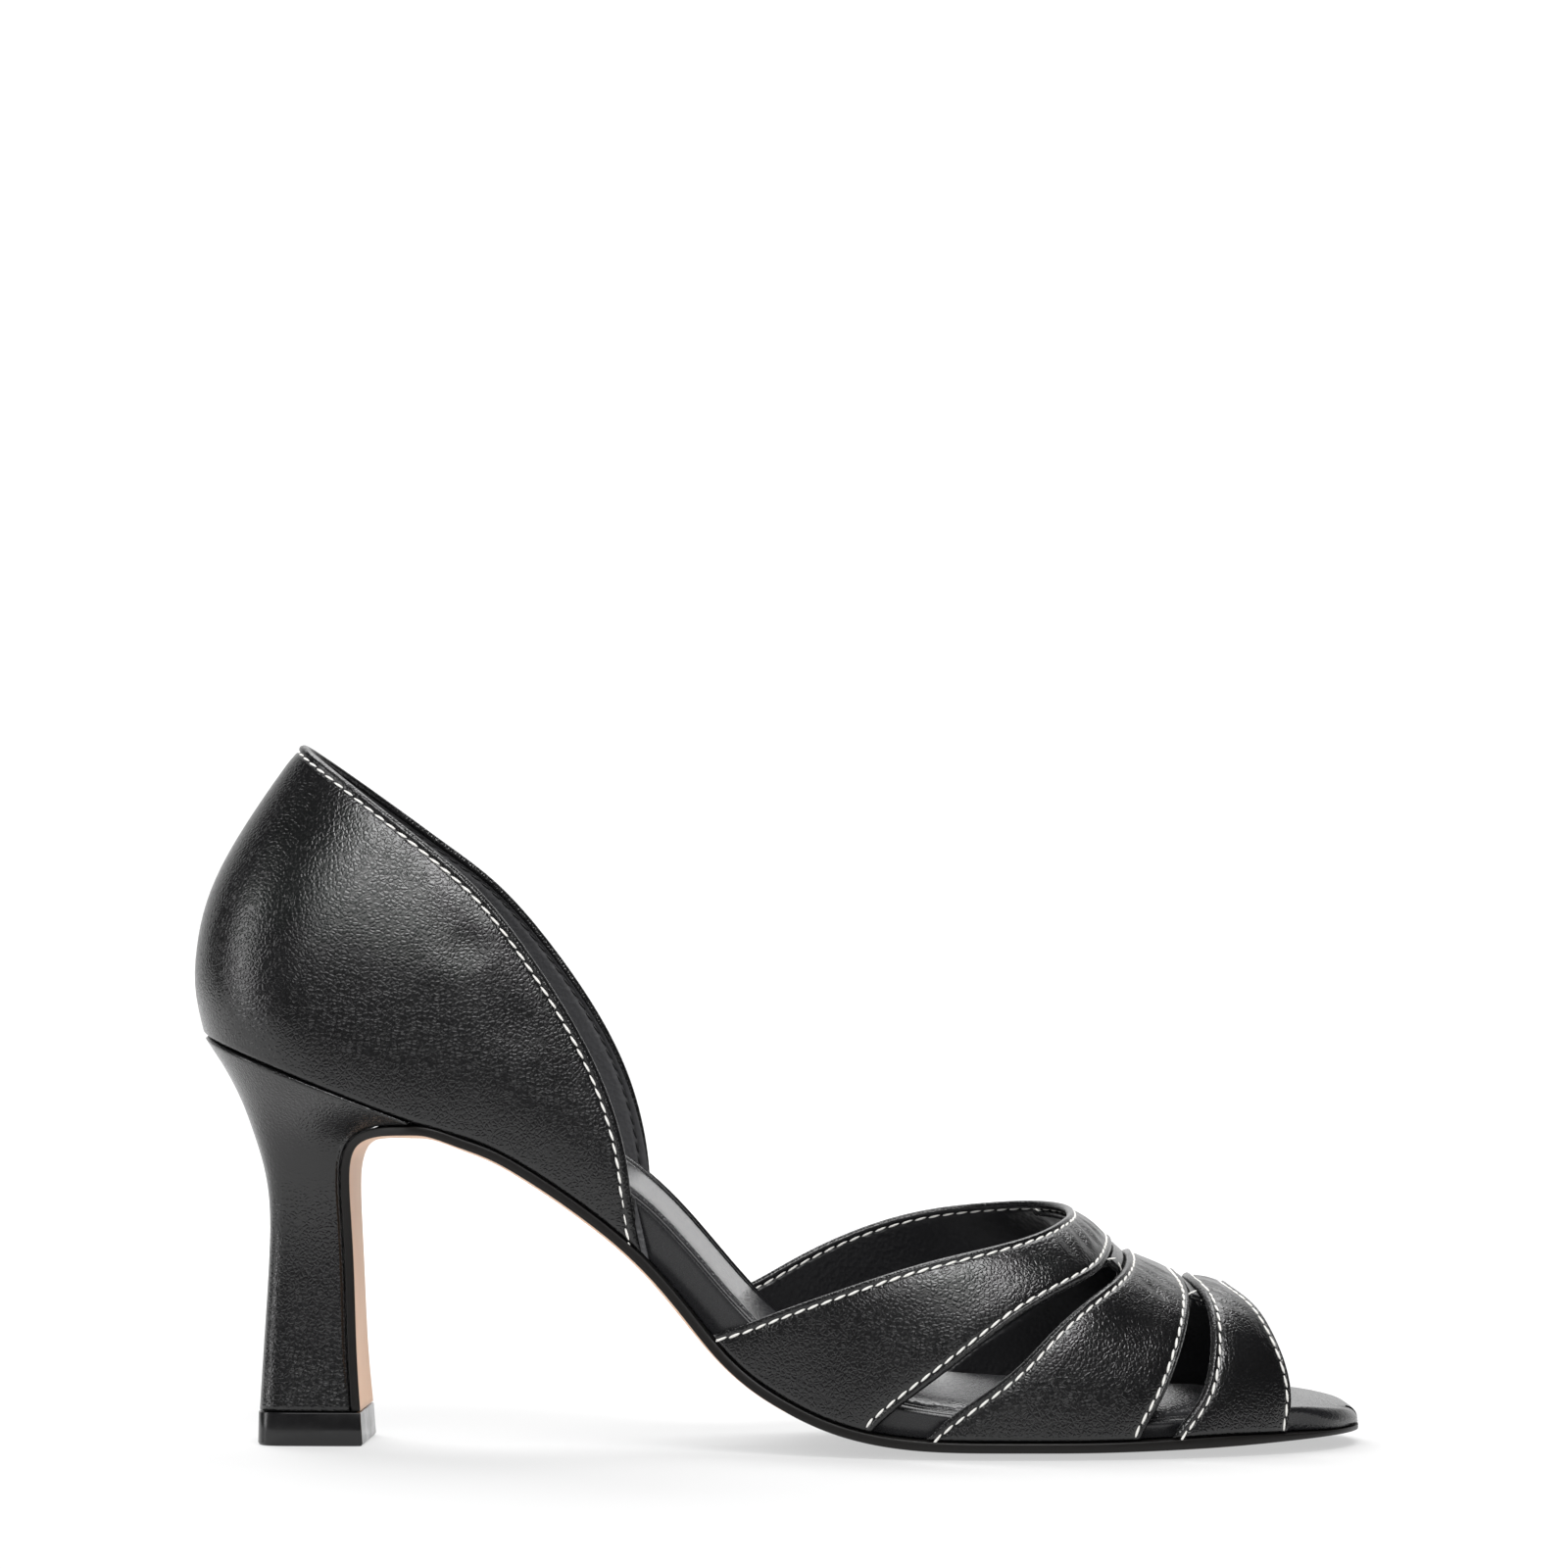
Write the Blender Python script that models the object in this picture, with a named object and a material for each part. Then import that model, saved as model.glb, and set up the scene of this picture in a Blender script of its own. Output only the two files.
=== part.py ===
"""Peep-toe shoe for the right foot on a flared heel, built as six separate pieces.

Sizes are in millimetres and become metres where a mesh is made. X runs from the back of the
heel to the toe, Y from the outer side of the foot to the inner side, and Z up from the floor.
Every piece follows the same last: an outline in plan, a profile of the sole from the side, and
a ridge over the instep. The walls are laid on that last as sheets with a real thickness.
"""

import math

import bmesh
import bpy
import numpy as np

MM = 0.001
OUTER = -1
INNER = 1

# Overall sizes of the last and of the sheets laid on it.
LENGTH = 224.6
GAP = 0.3
WALL = 1.6
SPINE = 1.2

# Plan of the heel seat: a round back that reaches its full half width at SEAT_WIDE.
HEEL_BACK = 1.6
SEAT_WIDE = 28.5
SEAT_HALF = 27.0
SEAT_ROUND = 2.1
SEAT_FRONT = 43.3

# Plan of the toe: each side closes on the tip along its own rounded curve.
TOE_TIP_Y = 4.0
TOE_START = {OUTER: 155.0, INNER: 166.0}
TOE_ROUND = {OUTER: 2.05, INNER: 2.35}

# Half widths of the feather edge between the heel seat and the start of the toe curve.
OUTER_COLUMNS = ("x", "half")
OUTER_EDGE = (
    (28.5, 27.0),
    (40.0, 26.9),
    (56.8, 26.0),
    (67.5, 25.3),
    (78.7, 24.8),
    (89.9, 25.1),
    (104.9, 28.0),
    (122.6, 33.9),
    (140.0, 37.7),
    (155.0, 38.4),
)
INNER_COLUMNS = ("x", "half")
INNER_EDGE = (
    (28.5, 27.0),
    (40.0, 26.8),
    (56.8, 25.0),
    (67.5, 23.0),
    (78.7, 21.3),
    (89.9, 20.3),
    (104.9, 21.4),
    (122.6, 27.2),
    (140.0, 33.5),
    (155.0, 37.0),
    (166.0, 37.8),
)

# Side profile: seat is the top of the sole and heel, footbed the top of the padded insole, and
# cant how much higher the footbed's inner side is than its outer one. Edge is the sole's own
# thickness, and crown how far the middle of the sole hangs below its edges.
PROFILE_COLUMNS = ("x", "seat", "footbed", "cant", "edge", "crown")
PROFILE = (
    (0.0, 79.1, 85.9, 0.0, 1.7, 0.6),
    (24.0, 69.9, 76.7, 0.0, 1.7, 0.8),
    (40.0, 63.7, 70.4, 0.0, 1.7, 1.0),
    (47.8, 61.1, 67.9, 0.4, 1.7, 1.1),
    (56.8, 58.3, 65.1, 1.0, 1.8, 1.2),
    (67.5, 52.6, 60.9, 1.8, 1.85, 1.3),
    (78.7, 44.8, 54.7, 2.3, 1.85, 1.3),
    (89.9, 35.0, 46.3, 2.3, 1.85, 1.3),
    (97.6, 26.1, 38.1, 2.2, 1.85, 1.3),
    (104.9, 17.7, 29.7, 1.8, 1.85, 1.2),
    (113.0, 11.7, 21.7, 1.4, 1.85, 1.2),
    (122.6, 7.1, 15.2, 1.3, 1.85, 1.3),
    (133.3, 4.4, 11.5, 1.2, 1.85, 1.4),
    (145.0, 3.4, 9.5, 1.4, 1.85, 1.5),
    (158.0, 3.3, 8.5, 1.2, 1.85, 1.5),
    (172.0, 3.3, 7.7, 0.8, 1.85, 1.5),
    (186.0, 3.6, 7.5, 0.4, 1.9, 1.5),
    (199.0, 4.1, 7.8, 0.4, 2.0, 1.4),
    (212.0, 4.35, 7.9, 0.4, 1.75, 0.9),
    (224.6, 4.3, 7.6, 0.3, 1.4, 0.2),
)

# Heel rows from the top piece upward. Front is the breast that the sole flap covers, flap its
# half width there. Back and half are the heel's own, and round is how squared its back is.
HEEL_COLUMNS = ("row", "front_x", "front_z", "flap", "back_x", "back_z", "half", "round")
HEEL = (
    (0, 31.1, 6.7, 12.0, 12.7, 6.7, 12.1, 5.0),
    (1, 30.2, 18.5, 10.6, 13.3, 18.5, 10.7, 4.8),
    (2, 29.6, 33.0, 9.7, 14.1, 33.0, 9.8, 4.5),
    (3, 29.0, 44.5, 10.1, 14.3, 44.5, 10.3, 4.0),
    (4, 28.9, 52.6, 11.6, 13.2, 52.8, 12.0, 3.4),
    (5, 30.3, 57.6, 14.2, 11.1, 59.8, 15.0, 2.9),
    (6, 33.3, 60.2, 18.0, 8.8, 65.8, 19.0, 2.5),
    (7, 37.6, 61.4, 22.4, 5.7, 71.8, 23.2, 2.25),
    (8, 43.0, 61.7, 25.8, 2.0, 77.4, 26.7, 2.1),
)
FLAP_THICKNESS = 1.7
FLAP_CROWN = 1.0
HEEL_STEPS = 3
BACK_REACH = 1.3

# Top piece: the wear block under the heel, a little wider at the floor.
TOP_PIECE_COLUMNS = ("z", "back_x", "front_x", "half")
TOP_PIECE = (
    (0.0, 12.7, 33.1, 12.5),
    (0.5, 12.5, 33.3, 12.7),
    (6.0, 12.6, 32.9, 12.4),
    (6.4, 12.9, 32.6, 12.1),
)

# Heel cup: how far the back lies from the seat's back line, and how much narrower the cup is
# than the seat, at each height over the seat.
CUP_COLUMNS = ("height", "back_x", "width")
CUP = (
    (0.0, 1.6, 1.0),
    (8.0, -0.2, 1.03),
    (14.5, -0.15, 1.03),
    (22.0, 0.95, 1.0),
    (31.3, 3.75, 0.94),
    (40.4, 7.8, 0.86),
    (49.9, 12.7, 0.75),
    (63.0, 20.0, 0.6),
)
QUARTER_REACH = {OUTER: 85.8, INNER: 87.0}

# Collar of the quarter: its height over the seat on each side, against the share of the way
# from the back of the heel round to the front corner.
COLLAR_COLUMNS = ("share", "outer", "inner")
COLLAR = (
    (0.0, 63.5, 63.5),
    (0.25, 53.1, 53.6),
    (0.5, 39.4, 41.3),
    (0.75, 25.2, 27.6),
    (1.0, 8.5, 9.5),
)

# Ridge of the instep over the toes. Behind the throat it only carries the walls of the vamp.
RIDGE_COLUMNS = ("x", "z", "y")
RIDGE = (
    (95.0, 92.0, 2.0),
    (112.0, 82.0, 2.0),
    (128.0, 71.5, 2.5),
    (142.0, 62.0, 3.0),
    (153.0, 54.8, 3.0),
    (162.0, 49.5, 3.0),
    (168.0, 45.8, 3.0),
    (173.0, 42.3, 3.0),
    (178.4, 38.2, 3.0),
    (184.0, 35.0, 3.2),
    (190.0, 32.8, 3.4),
    (197.0, 31.2, 3.8),
    (204.0, 29.4, 4.0),
    (212.0, 27.0, 4.2),
    (224.0, 22.0, 4.5),
)
SECTION_WALL = 2.6
SECTION_TOP = 2.3

# Edges of the three straps: X at eleven shares of the way from the outer feather edge over the
# ridge to the inner one. A strap lies between one edge and the next, then comes a window.
SHARES = (-1.0, -0.9, -0.75, -0.6, -0.45, -0.25, 0.0, 0.25, 0.5, 0.75, 1.0)
STRAP_EDGES = (
    ("throat", (100.8, 111.8, 130.2, 147.1, 159.2, 166.7, 168.7, 162.9, 146.5, 121.4, 98.0)),
    ("strap_1_front", (131.3, 143.4, 156.2, 166.1, 172.8, 176.4, 177.2, 175.0, 166.5, 151.0, 127.5)),
    ("strap_2_rear", (141.4, 153.9, 164.1, 170.9, 175.8, 179.3, 179.9, 178.4, 172.0, 160.0, 136.0)),
    ("strap_2_front", (181.7, 185.1, 188.2, 190.1, 191.2, 191.4, 189.6, 189.2, 187.0, 183.5, 176.0)),
    ("strap_3_rear", (187.7, 192.0, 194.7, 195.4, 195.3, 194.0, 191.2, 191.6, 191.2, 189.5, 181.5)),
    ("peep", (209.9, 210.6, 210.3, 208.9, 207.0, 203.9, 199.4, 202.0, 206.4, 210.4, 211.0)),
)

# The spine joins the straps along the ridge, and between them rises to SPINE_SINK under their faces.
SPINE_SHARE = 0.28
SPINE_SINK = 0.5
STRAP_CELLS = ((0.0, 0.1, 0.4, 0.7, 1.0), (0.0, 0.33, 0.67, 1.0), (0.0, 0.3, 0.6, 0.86, 1.0))
WINDOW_CELLS = (0.0, 0.5, 1.0)

LEATHER = (0.02, 0.02, 0.021, 1.0)
TAN = (0.67, 0.44, 0.3, 1.0)
PLASTIC = (0.012, 0.012, 0.012, 1.0)


def smooth(knots, values):
    """Return a curve that runs smoothly through the values at the knots."""
    knots = np.asarray(knots, float)
    values = np.asarray(values, float)
    size = len(knots)
    gaps = np.diff(knots)
    slopes = np.diff(values) / gaps
    matrix = np.eye(size)
    right = np.zeros(size)
    for row in range(1, size - 1):
        matrix[row, row - 1] = gaps[row - 1]
        matrix[row, row] = 2 * (gaps[row - 1] + gaps[row])
        matrix[row, row + 1] = gaps[row]
        right[row] = 6 * (slopes[row] - slopes[row - 1])
    bends = np.linalg.solve(matrix, right)

    def curve(at):
        at = np.asarray(at, float)
        span = np.clip(np.searchsorted(knots, at) - 1, 0, size - 2)
        step = gaps[span]
        past = (at - knots[span]) / step
        ahead = 1 - past
        line = ahead * values[span] + past * values[span + 1]
        bow = (ahead ** 3 - ahead) * bends[span] + (past ** 3 - past) * bends[span + 1]
        return line + bow * step ** 2 / 6

    return curve


def curves(columns, rows):
    """Return the smooth curve of each column of a table against its first column."""
    data = np.array(rows, float)
    return {name: smooth(data[:, 0], data[:, place]) for place, name in enumerate(columns)}


def rounded(share, power):
    """Return the height of a rounded quarter at a share of its width."""
    share = np.clip(share, 0, 1)
    return (1 - share ** power) ** (1 / power)


profile = curves(PROFILE_COLUMNS, PROFILE)
heel_rows = curves(HEEL_COLUMNS, HEEL)
cup = curves(CUP_COLUMNS, CUP)
collar = curves(COLLAR_COLUMNS, COLLAR)
ridge = curves(RIDGE_COLUMNS, RIDGE)
waist = {OUTER: curves(OUTER_COLUMNS, OUTER_EDGE)["half"],
         INNER: curves(INNER_COLUMNS, INNER_EDGE)["half"]}
strap_edges = {name: smooth(SHARES, places) for name, places in STRAP_EDGES}


def edge_y(x, side):
    """Return Y of the feather edge, where the upper meets the sole, on one side."""
    x = np.asarray(x, float)
    seat = SEAT_HALF * rounded(1 - (x - HEEL_BACK) / (SEAT_WIDE - HEEL_BACK), SEAT_ROUND)
    start = TOE_START[side]
    middle = waist[side](np.clip(x, SEAT_WIDE, start))
    reach = side * waist[side](start) - TOE_TIP_Y
    toe = TOE_TIP_Y + reach * rounded((x - start) / (LENGTH - start), TOE_ROUND[side])
    return np.where(x < SEAT_WIDE, side * seat, np.where(x > start, toe, side * middle))


def even_ends(start, end, count):
    """Return places from start to end that close up towards both ends."""
    turn = np.linspace(0, math.pi, count)
    return start + (end - start) * (1 - np.cos(turn)) / 2


def close_front(start, end, count):
    """Return places from start to end that close up towards the end only."""
    turn = np.linspace(0, math.pi / 2, count)
    return start + (end - start) * np.sin(turn)


def across(low, high, shares):
    """Return the grid of points between two edges at the given shares of the way."""
    shares = np.asarray(shares)[None, :, None]
    return low[:, None, :] * (1 - shares) + high[:, None, :] * shares


def points(x, y, z):
    """Return X, Y and Z joined as points."""
    return np.stack(np.broadcast_arrays(x, y, z), axis=-1)


def layered(levels, filled):
    """Return points and faces of the solid that the filled cells of a layered grid make.

    levels holds one grid of points for each level, filled one grid of cells for each layer
    between two levels. A face is made wherever a filled cell meets an empty one.
    """
    levels = np.array(levels)
    layers, rows, columns = filled.shape
    padded = np.pad(filled, 1)
    index = {}
    spots = []
    faces = []

    def corner(level, row, column):
        key = (level, row, column)
        if key not in index:
            index[key] = len(spots)
            spots.append(levels[key])
        return index[key]

    sides = (
        ((-1, 0, 0), ((0, 0, 0), (0, 0, 1), (0, 1, 1), (0, 1, 0))),
        ((1, 0, 0), ((1, 0, 0), (1, 1, 0), (1, 1, 1), (1, 0, 1))),
        ((0, -1, 0), ((0, 0, 0), (1, 0, 0), (1, 0, 1), (0, 0, 1))),
        ((0, 1, 0), ((0, 1, 0), (0, 1, 1), (1, 1, 1), (1, 1, 0))),
        ((0, 0, -1), ((0, 0, 0), (0, 1, 0), (1, 1, 0), (1, 0, 0))),
        ((0, 0, 1), ((0, 0, 1), (1, 0, 1), (1, 1, 1), (0, 1, 1))),
    )
    for layer, row, column in zip(*np.nonzero(filled)):
        for (up, along, over), corners in sides:
            if padded[layer + up + 1, row + along + 1, column + over + 1]:
                continue
            faces.append([corner(layer + a, row + b, column + c) for a, b, c in corners])
    return np.array(spots), faces


def slab(levels):
    """Return the solid between the first and the last of the levels."""
    rows, columns = levels[0].shape[:2]
    return layered(levels, np.ones((len(levels) - 1, rows - 1, columns - 1), bool))


def loft(rings):
    """Return the solid that runs through closed rings and is capped at both ends."""
    rings = np.array(rings)
    count, size = rings.shape[:2]
    faces = []
    for row in range(count - 1):
        for place in range(size):
            after = (place + 1) % size
            faces.append([row * size + place, row * size + after,
                          (row + 1) * size + after, (row + 1) * size + place])
    faces.append(list(range(size)))
    faces.append(list(range((count - 1) * size, count * size)))
    return rings.reshape(-1, 3), faces


def path_normals(x, z):
    """Return the directions square to a side path, on the side of the foot."""
    along_x = np.gradient(x)
    along_z = np.gradient(z)
    size = np.hypot(along_x, along_z)
    return -along_z / size, along_x / size


def sole_path():
    """Return the top line of the sole from the end of the flap to the toe, with its sides."""
    rows = np.linspace(0, len(HEEL) - 1, (len(HEEL) - 1) * HEEL_STEPS + 1)
    run = close_front(46.0, LENGTH, 44)
    x = np.concatenate([heel_rows["front_x"](rows), run])
    z = np.concatenate([heel_rows["front_z"](rows), profile["seat"](run)])
    outer = np.concatenate([-heel_rows["flap"](rows), edge_y(run, OUTER)])
    inner = np.concatenate([heel_rows["flap"](rows), edge_y(run, INNER)])
    flap_crown = FLAP_CROWN * np.linspace(0, 1, len(rows)) ** 2
    crown = np.concatenate([flap_crown, profile["crown"](run)])
    edge = np.concatenate([np.full(len(rows), FLAP_THICKNESS), profile["edge"](run)])
    return x, z, outer, inner, crown, edge, rows


def make_outsole():
    """Thin leather sole: forepart, arched waist, and the flap down the breast of the heel."""
    flat_share = 0.5
    crown_power = 1.6
    ground = 0.12
    x, z, outer, inner, crown, edge, _ = sole_path()
    away_x, away_z = path_normals(x, z)
    shares = np.linspace(0, 1, 9)
    top = across(points(x, outer, z), points(x, inner, z), shares)
    off_centre = np.abs(2 * shares - 1)
    bulge = (1 - off_centre ** crown_power) / (1 - flat_share ** crown_power)
    depth = edge[:, None] + crown[:, None] * np.minimum(1, bulge)[None, :]
    bottom = top.copy()
    bottom[..., 0] -= depth * away_x[:, None]
    bottom[..., 2] -= depth * away_z[:, None]
    on_floor = (bottom[..., 2] < ground) & (x[:, None] > 120)
    bottom[..., 2] = np.where(on_floor, 0, bottom[..., 2])
    flap_end = HEEL[0][2]
    bottom[0, :, 2] = flap_end
    return slab([bottom, top])


def heel_ring(front, back, flap, half, squared):
    """Return one ring of the heel: straight across the breast, rounded at the back."""
    side_steps = 4
    round_steps = 8
    middle = BACK_REACH - 1
    straight = np.linspace(1, middle, side_steps, endpoint=False)
    narrowing = 1 + (flap / half - 1) * ((straight - middle) / (1 - middle)) ** 2
    turn = np.linspace(math.pi / 2, 0, round_steps + 1)
    bend = BACK_REACH * (1 - np.cos(turn) ** (2 / squared)) - 1
    along = np.concatenate([straight, bend])
    over = np.concatenate([narrowing, np.sin(turn) ** (2 / squared)]) * half
    along = np.concatenate([along, along[-2::-1]])
    over = np.concatenate([-over, over[-2::-1]])
    share = (along + 1) / 2
    x = back[0] + (front[0] - back[0]) * share
    z = back[1] + (front[1] - back[1]) * share
    return points(x, over, z)


def make_heel():
    """Flared heel block: U-shaped under the seat, squared lower down, hollowed at the breast."""
    x, z, _, _, _, _, rows = sole_path()
    away_x, away_z = path_normals(x, z)
    rings = []
    for place, row in enumerate(rows):
        front = (x[place] + GAP * away_x[place], z[place] + GAP * away_z[place])
        back = (heel_rows["back_x"](row), heel_rows["back_z"](row))
        if place == 0:
            front = (front[0], back[1])
        half = float(heel_rows["half"](row))
        flap = float(heel_rows["flap"](row))
        rings.append(heel_ring(front, back, flap, half, float(heel_rows["round"](row))))
    seat_back = (HEEL_BACK, float(profile["seat"](HEEL_BACK)))
    seat_front = (SEAT_FRONT, float(profile["seat"](SEAT_FRONT)))
    rings.append(heel_ring(seat_front, seat_back, SEAT_HALF - 0.3, SEAT_HALF, SEAT_ROUND))
    return loft(rings)


def make_top_piece():
    """Hard wear block under the heel."""
    rings = []
    for z, back, front, half in TOP_PIECE:
        rings.append(heel_ring((front, z), (back, z), half - 0.2, half, 6.0))
    return loft(rings)


def make_footbed():
    """Padded insole wrapped in leather, its side open to view at the waist and the toe."""
    clear = WALL + GAP + 0.7
    toe_clear = 0.1
    ease_start = 211.0
    ease_end = 220.0
    side_round = 1.1
    toe_round = 2.4
    ends = 0.25
    x = even_ends(HEEL_BACK + clear, LENGTH - toe_clear, 46)
    ease = np.clip((x - ease_start) / (ease_end - ease_start), 0, 1)
    ease = ease * ease * (3 - 2 * ease)
    inset = clear + (toe_clear - clear) * ease
    moved = HEEL_BACK + (x - x[0] + ends) * (LENGTH - HEEL_BACK) / (x[-1] - x[0] + 2 * ends)
    outer = edge_y(moved, OUTER)
    inner = edge_y(moved, INNER)
    middle = (outer + inner) / 2
    shrink = np.maximum(1 - 2 * inset / (inner - outer), 0.5)
    outer = middle + (outer - middle) * shrink
    inner = middle + (inner - middle) * shrink
    low = profile["seat"](x) + GAP
    high = profile["footbed"](x)
    cant = profile["cant"](x)
    edge_round = side_round + (toe_round - side_round) * ease
    shares = np.linspace(0, 1, 9)
    levels = [across(points(x, outer, low), points(x, inner, low), shares)]
    for turn in np.radians((0, 45, 90)):
        pull = edge_round * (1 - math.cos(turn))
        drop = edge_round * (1 - math.sin(turn))
        narrow = np.maximum(1 - 2 * pull / (inner - outer), 0.4)
        drawn = x - pull * np.clip((x - ease_end) / (x[-1] - ease_end), 0, 1) ** 2
        left = points(drawn, middle + (outer - middle) * narrow, high - cant / 2 - drop)
        right = points(drawn, middle + (inner - middle) * narrow, high + cant / 2 - drop)
        levels.append(across(left, right, shares))
    return slab(levels)


def normals_of(grid):
    """Return the unit normals of a grid of points."""
    down = np.gradient(grid, axis=0)
    over = np.gradient(grid, axis=1)
    normal = np.cross(down, over)
    return normal / np.linalg.norm(normal, axis=-1, keepdims=True)


def sheet_levels(grid, upright, depths):
    """Return levels of a sheet at the given depths under a grid of outer points.

    upright is 1 where the sheet's edge stands on the sole, so that its foot stays level.
    """
    normal = normals_of(grid)
    normal[..., 2] *= 1 - upright
    normal /= np.linalg.norm(normal, axis=-1, keepdims=True)
    return [grid - normal * depth for depth in depths]


def quarter_points(place, height_share):
    """Return points of the quarter's outer face.

    place runs from -1 at the outer front corner through 0 at the back to 1 at the inner one.
    height_share runs from 0 at the seat to 1 at the collar.
    """
    full = np.where(place < 0, QUARTER_REACH[OUTER], QUARTER_REACH[INNER])
    reach = full * (1 - np.cos(math.pi * np.abs(place))) / 2
    share = np.arcsin(np.clip(reach / full, 0, 1)) * 2 / math.pi
    top = np.where(place < 0, collar["outer"](share), collar["inner"](share))
    height = height_share * top
    x = cup["back_x"](height) + reach
    plan_x = HEEL_BACK + reach
    side = np.where(place < 0, edge_y(plan_x, OUTER), edge_y(plan_x, INNER))
    y = np.where(place == 0, 0, side * cup["width"](height))
    return points(x, y, profile["seat"](x) + GAP + height)


def make_quarter():
    """Heel counter: one wall from the outer waist round the heel to the inner waist."""
    place = np.linspace(-1, 1, 47)[:, None]
    height_share = np.linspace(0, 1, 10)[None, :]
    grid = quarter_points(place, height_share)
    upright = np.clip(1 - height_share * 4, 0, 1) + 0 * place
    return slab(sheet_levels(grid[::-1], upright[::-1], (0, WALL)))


def vamp_points(x, share):
    """Return points of the vamp's outer face at X and at a share of the way over the foot."""
    turn = (1 - np.abs(share)) * math.pi / 2
    edge = np.where(share < 0, edge_y(x, OUTER), edge_y(x, INNER))
    foot = profile["seat"](x) + GAP
    out = np.clip(np.cos(turn), 0, 1) ** (2 / SECTION_WALL)
    up = np.clip(np.sin(turn), 0, 1) ** (2 / SECTION_TOP)
    y = ridge["y"](x) + (edge - ridge["y"](x)) * out
    z = foot + (ridge["z"](x) - foot) * up
    return points(x, y, z)


def vamp_shares():
    """Return the shares over the foot at which the vamp's grid lines lie."""
    low = np.linspace(-1, -SPINE_SHARE, 15)
    middle = np.linspace(-SPINE_SHARE, SPINE_SHARE, 13)
    high = np.linspace(SPINE_SHARE, 1, 15)
    return np.concatenate([low, middle[1:-1], high])


def vamp_cells():
    """Return the grid lines across straps and windows, and which cells belong to a strap."""
    names = list(strap_edges)
    lines = []
    strap = []
    for place in range(len(names) - 1):
        is_strap = place % 2 == 0
        cells = STRAP_CELLS[place // 2] if is_strap else WINDOW_CELLS
        for share in cells[:-1]:
            lines.append((names[place], names[place + 1], share))
            strap.append(is_strap)
    lines.append((names[-2], names[-1], 1.0))
    return lines, np.array(strap)


def make_vamp():
    """Three straps over the toes, joined by the spine that runs under them along the ridge."""
    shares = vamp_shares()
    lines, strap = vamp_cells()
    x = np.array([strap_edges[rear](shares) * (1 - share) + strap_edges[front](shares) * share
                  for rear, front, share in lines])
    grid = vamp_points(x, shares[None, :])
    upright = np.clip((np.abs(shares)[None, :] - 0.85) / 0.15, 0, 1) + 0 * x
    levels = sheet_levels(grid, upright, (0, SPINE_SINK, WALL, WALL + SPINE))
    middle = (shares[:-1] + shares[1:]) / 2
    on_spine = np.abs(middle) < SPINE_SHARE
    under = np.ones(len(strap), bool)
    under[0] = False
    under[-1] = False
    filled = np.zeros((3, len(strap), len(middle)), bool)
    filled[0] = strap[:, None] & np.ones(len(middle), bool)[None, :]
    filled[1] = filled[0] | on_spine[None, :]
    filled[2] = under[:, None] & on_spine[None, :]
    return layered(levels, filled)


def add_piece(name, spots, faces, colour, roughness):
    """Make one closed mesh object with its own material."""
    mesh = bpy.data.meshes.new(name)
    work = bmesh.new()
    corners = [work.verts.new(spot) for spot in spots * MM]
    for face in faces:
        work.faces.new([corners[place] for place in face])
    bmesh.ops.recalc_face_normals(work, faces=work.faces)
    work.to_mesh(mesh)
    work.free()
    material = bpy.data.materials.new(name)
    material.use_nodes = True
    shader = material.node_tree.nodes["Principled BSDF"]
    shader.inputs["Base Color"].default_value = colour
    shader.inputs["Roughness"].default_value = roughness
    mesh.materials.append(material)
    piece = bpy.data.objects.new(name, mesh)
    bpy.context.scene.collection.objects.link(piece)
    return piece


def main():
    """Clear the scene, work out every piece, centre them on the floor and add them."""
    for old in list(bpy.data.objects):
        bpy.data.objects.remove(old)
    pieces = (
        ("outsole", make_outsole(), TAN, 0.5),
        ("heel", make_heel(), LEATHER, 0.45),
        ("top_piece", make_top_piece(), PLASTIC, 0.25),
        ("footbed", make_footbed(), LEATHER, 0.4),
        ("quarter", make_quarter(), LEATHER, 0.45),
        ("vamp", make_vamp(), LEATHER, 0.45),
    )
    everything = np.concatenate([spots for _, (spots, _), _, _ in pieces])
    centre = (everything.min(axis=0) + everything.max(axis=0)) / 2
    centre[2] = 0
    for name, (spots, faces), colour, roughness in pieces:
        add_piece(name, spots - centre, faces, colour, roughness)


main()
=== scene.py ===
"""Looks of the peep-toe shoe: black grained calf, white stitching and a tan leather sole.

Sizes are in millimetres on the axes of the last: X from the back of the heel to the toe, Y from
the outer side of the foot to the inner side, Z up from the floor. They become metres, centred on
the shared frame, where a mesh is made.
"""

import math

import bpy
import numpy as np
from mathutils import Matrix, Vector


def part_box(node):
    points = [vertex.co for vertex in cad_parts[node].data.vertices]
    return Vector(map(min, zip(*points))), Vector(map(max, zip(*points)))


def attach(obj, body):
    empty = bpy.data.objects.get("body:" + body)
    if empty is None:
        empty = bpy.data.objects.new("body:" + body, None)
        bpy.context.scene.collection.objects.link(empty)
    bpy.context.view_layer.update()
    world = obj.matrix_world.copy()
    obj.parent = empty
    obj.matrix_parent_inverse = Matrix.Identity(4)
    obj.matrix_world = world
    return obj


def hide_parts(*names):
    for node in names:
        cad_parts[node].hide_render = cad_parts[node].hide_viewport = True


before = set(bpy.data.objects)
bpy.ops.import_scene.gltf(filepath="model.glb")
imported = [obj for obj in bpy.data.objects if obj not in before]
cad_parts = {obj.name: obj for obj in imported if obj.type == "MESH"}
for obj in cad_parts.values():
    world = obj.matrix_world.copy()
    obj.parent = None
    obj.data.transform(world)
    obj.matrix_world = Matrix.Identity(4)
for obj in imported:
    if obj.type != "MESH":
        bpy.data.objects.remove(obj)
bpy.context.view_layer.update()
bpy.ops.object.select_all(action="DESELECT")


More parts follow.
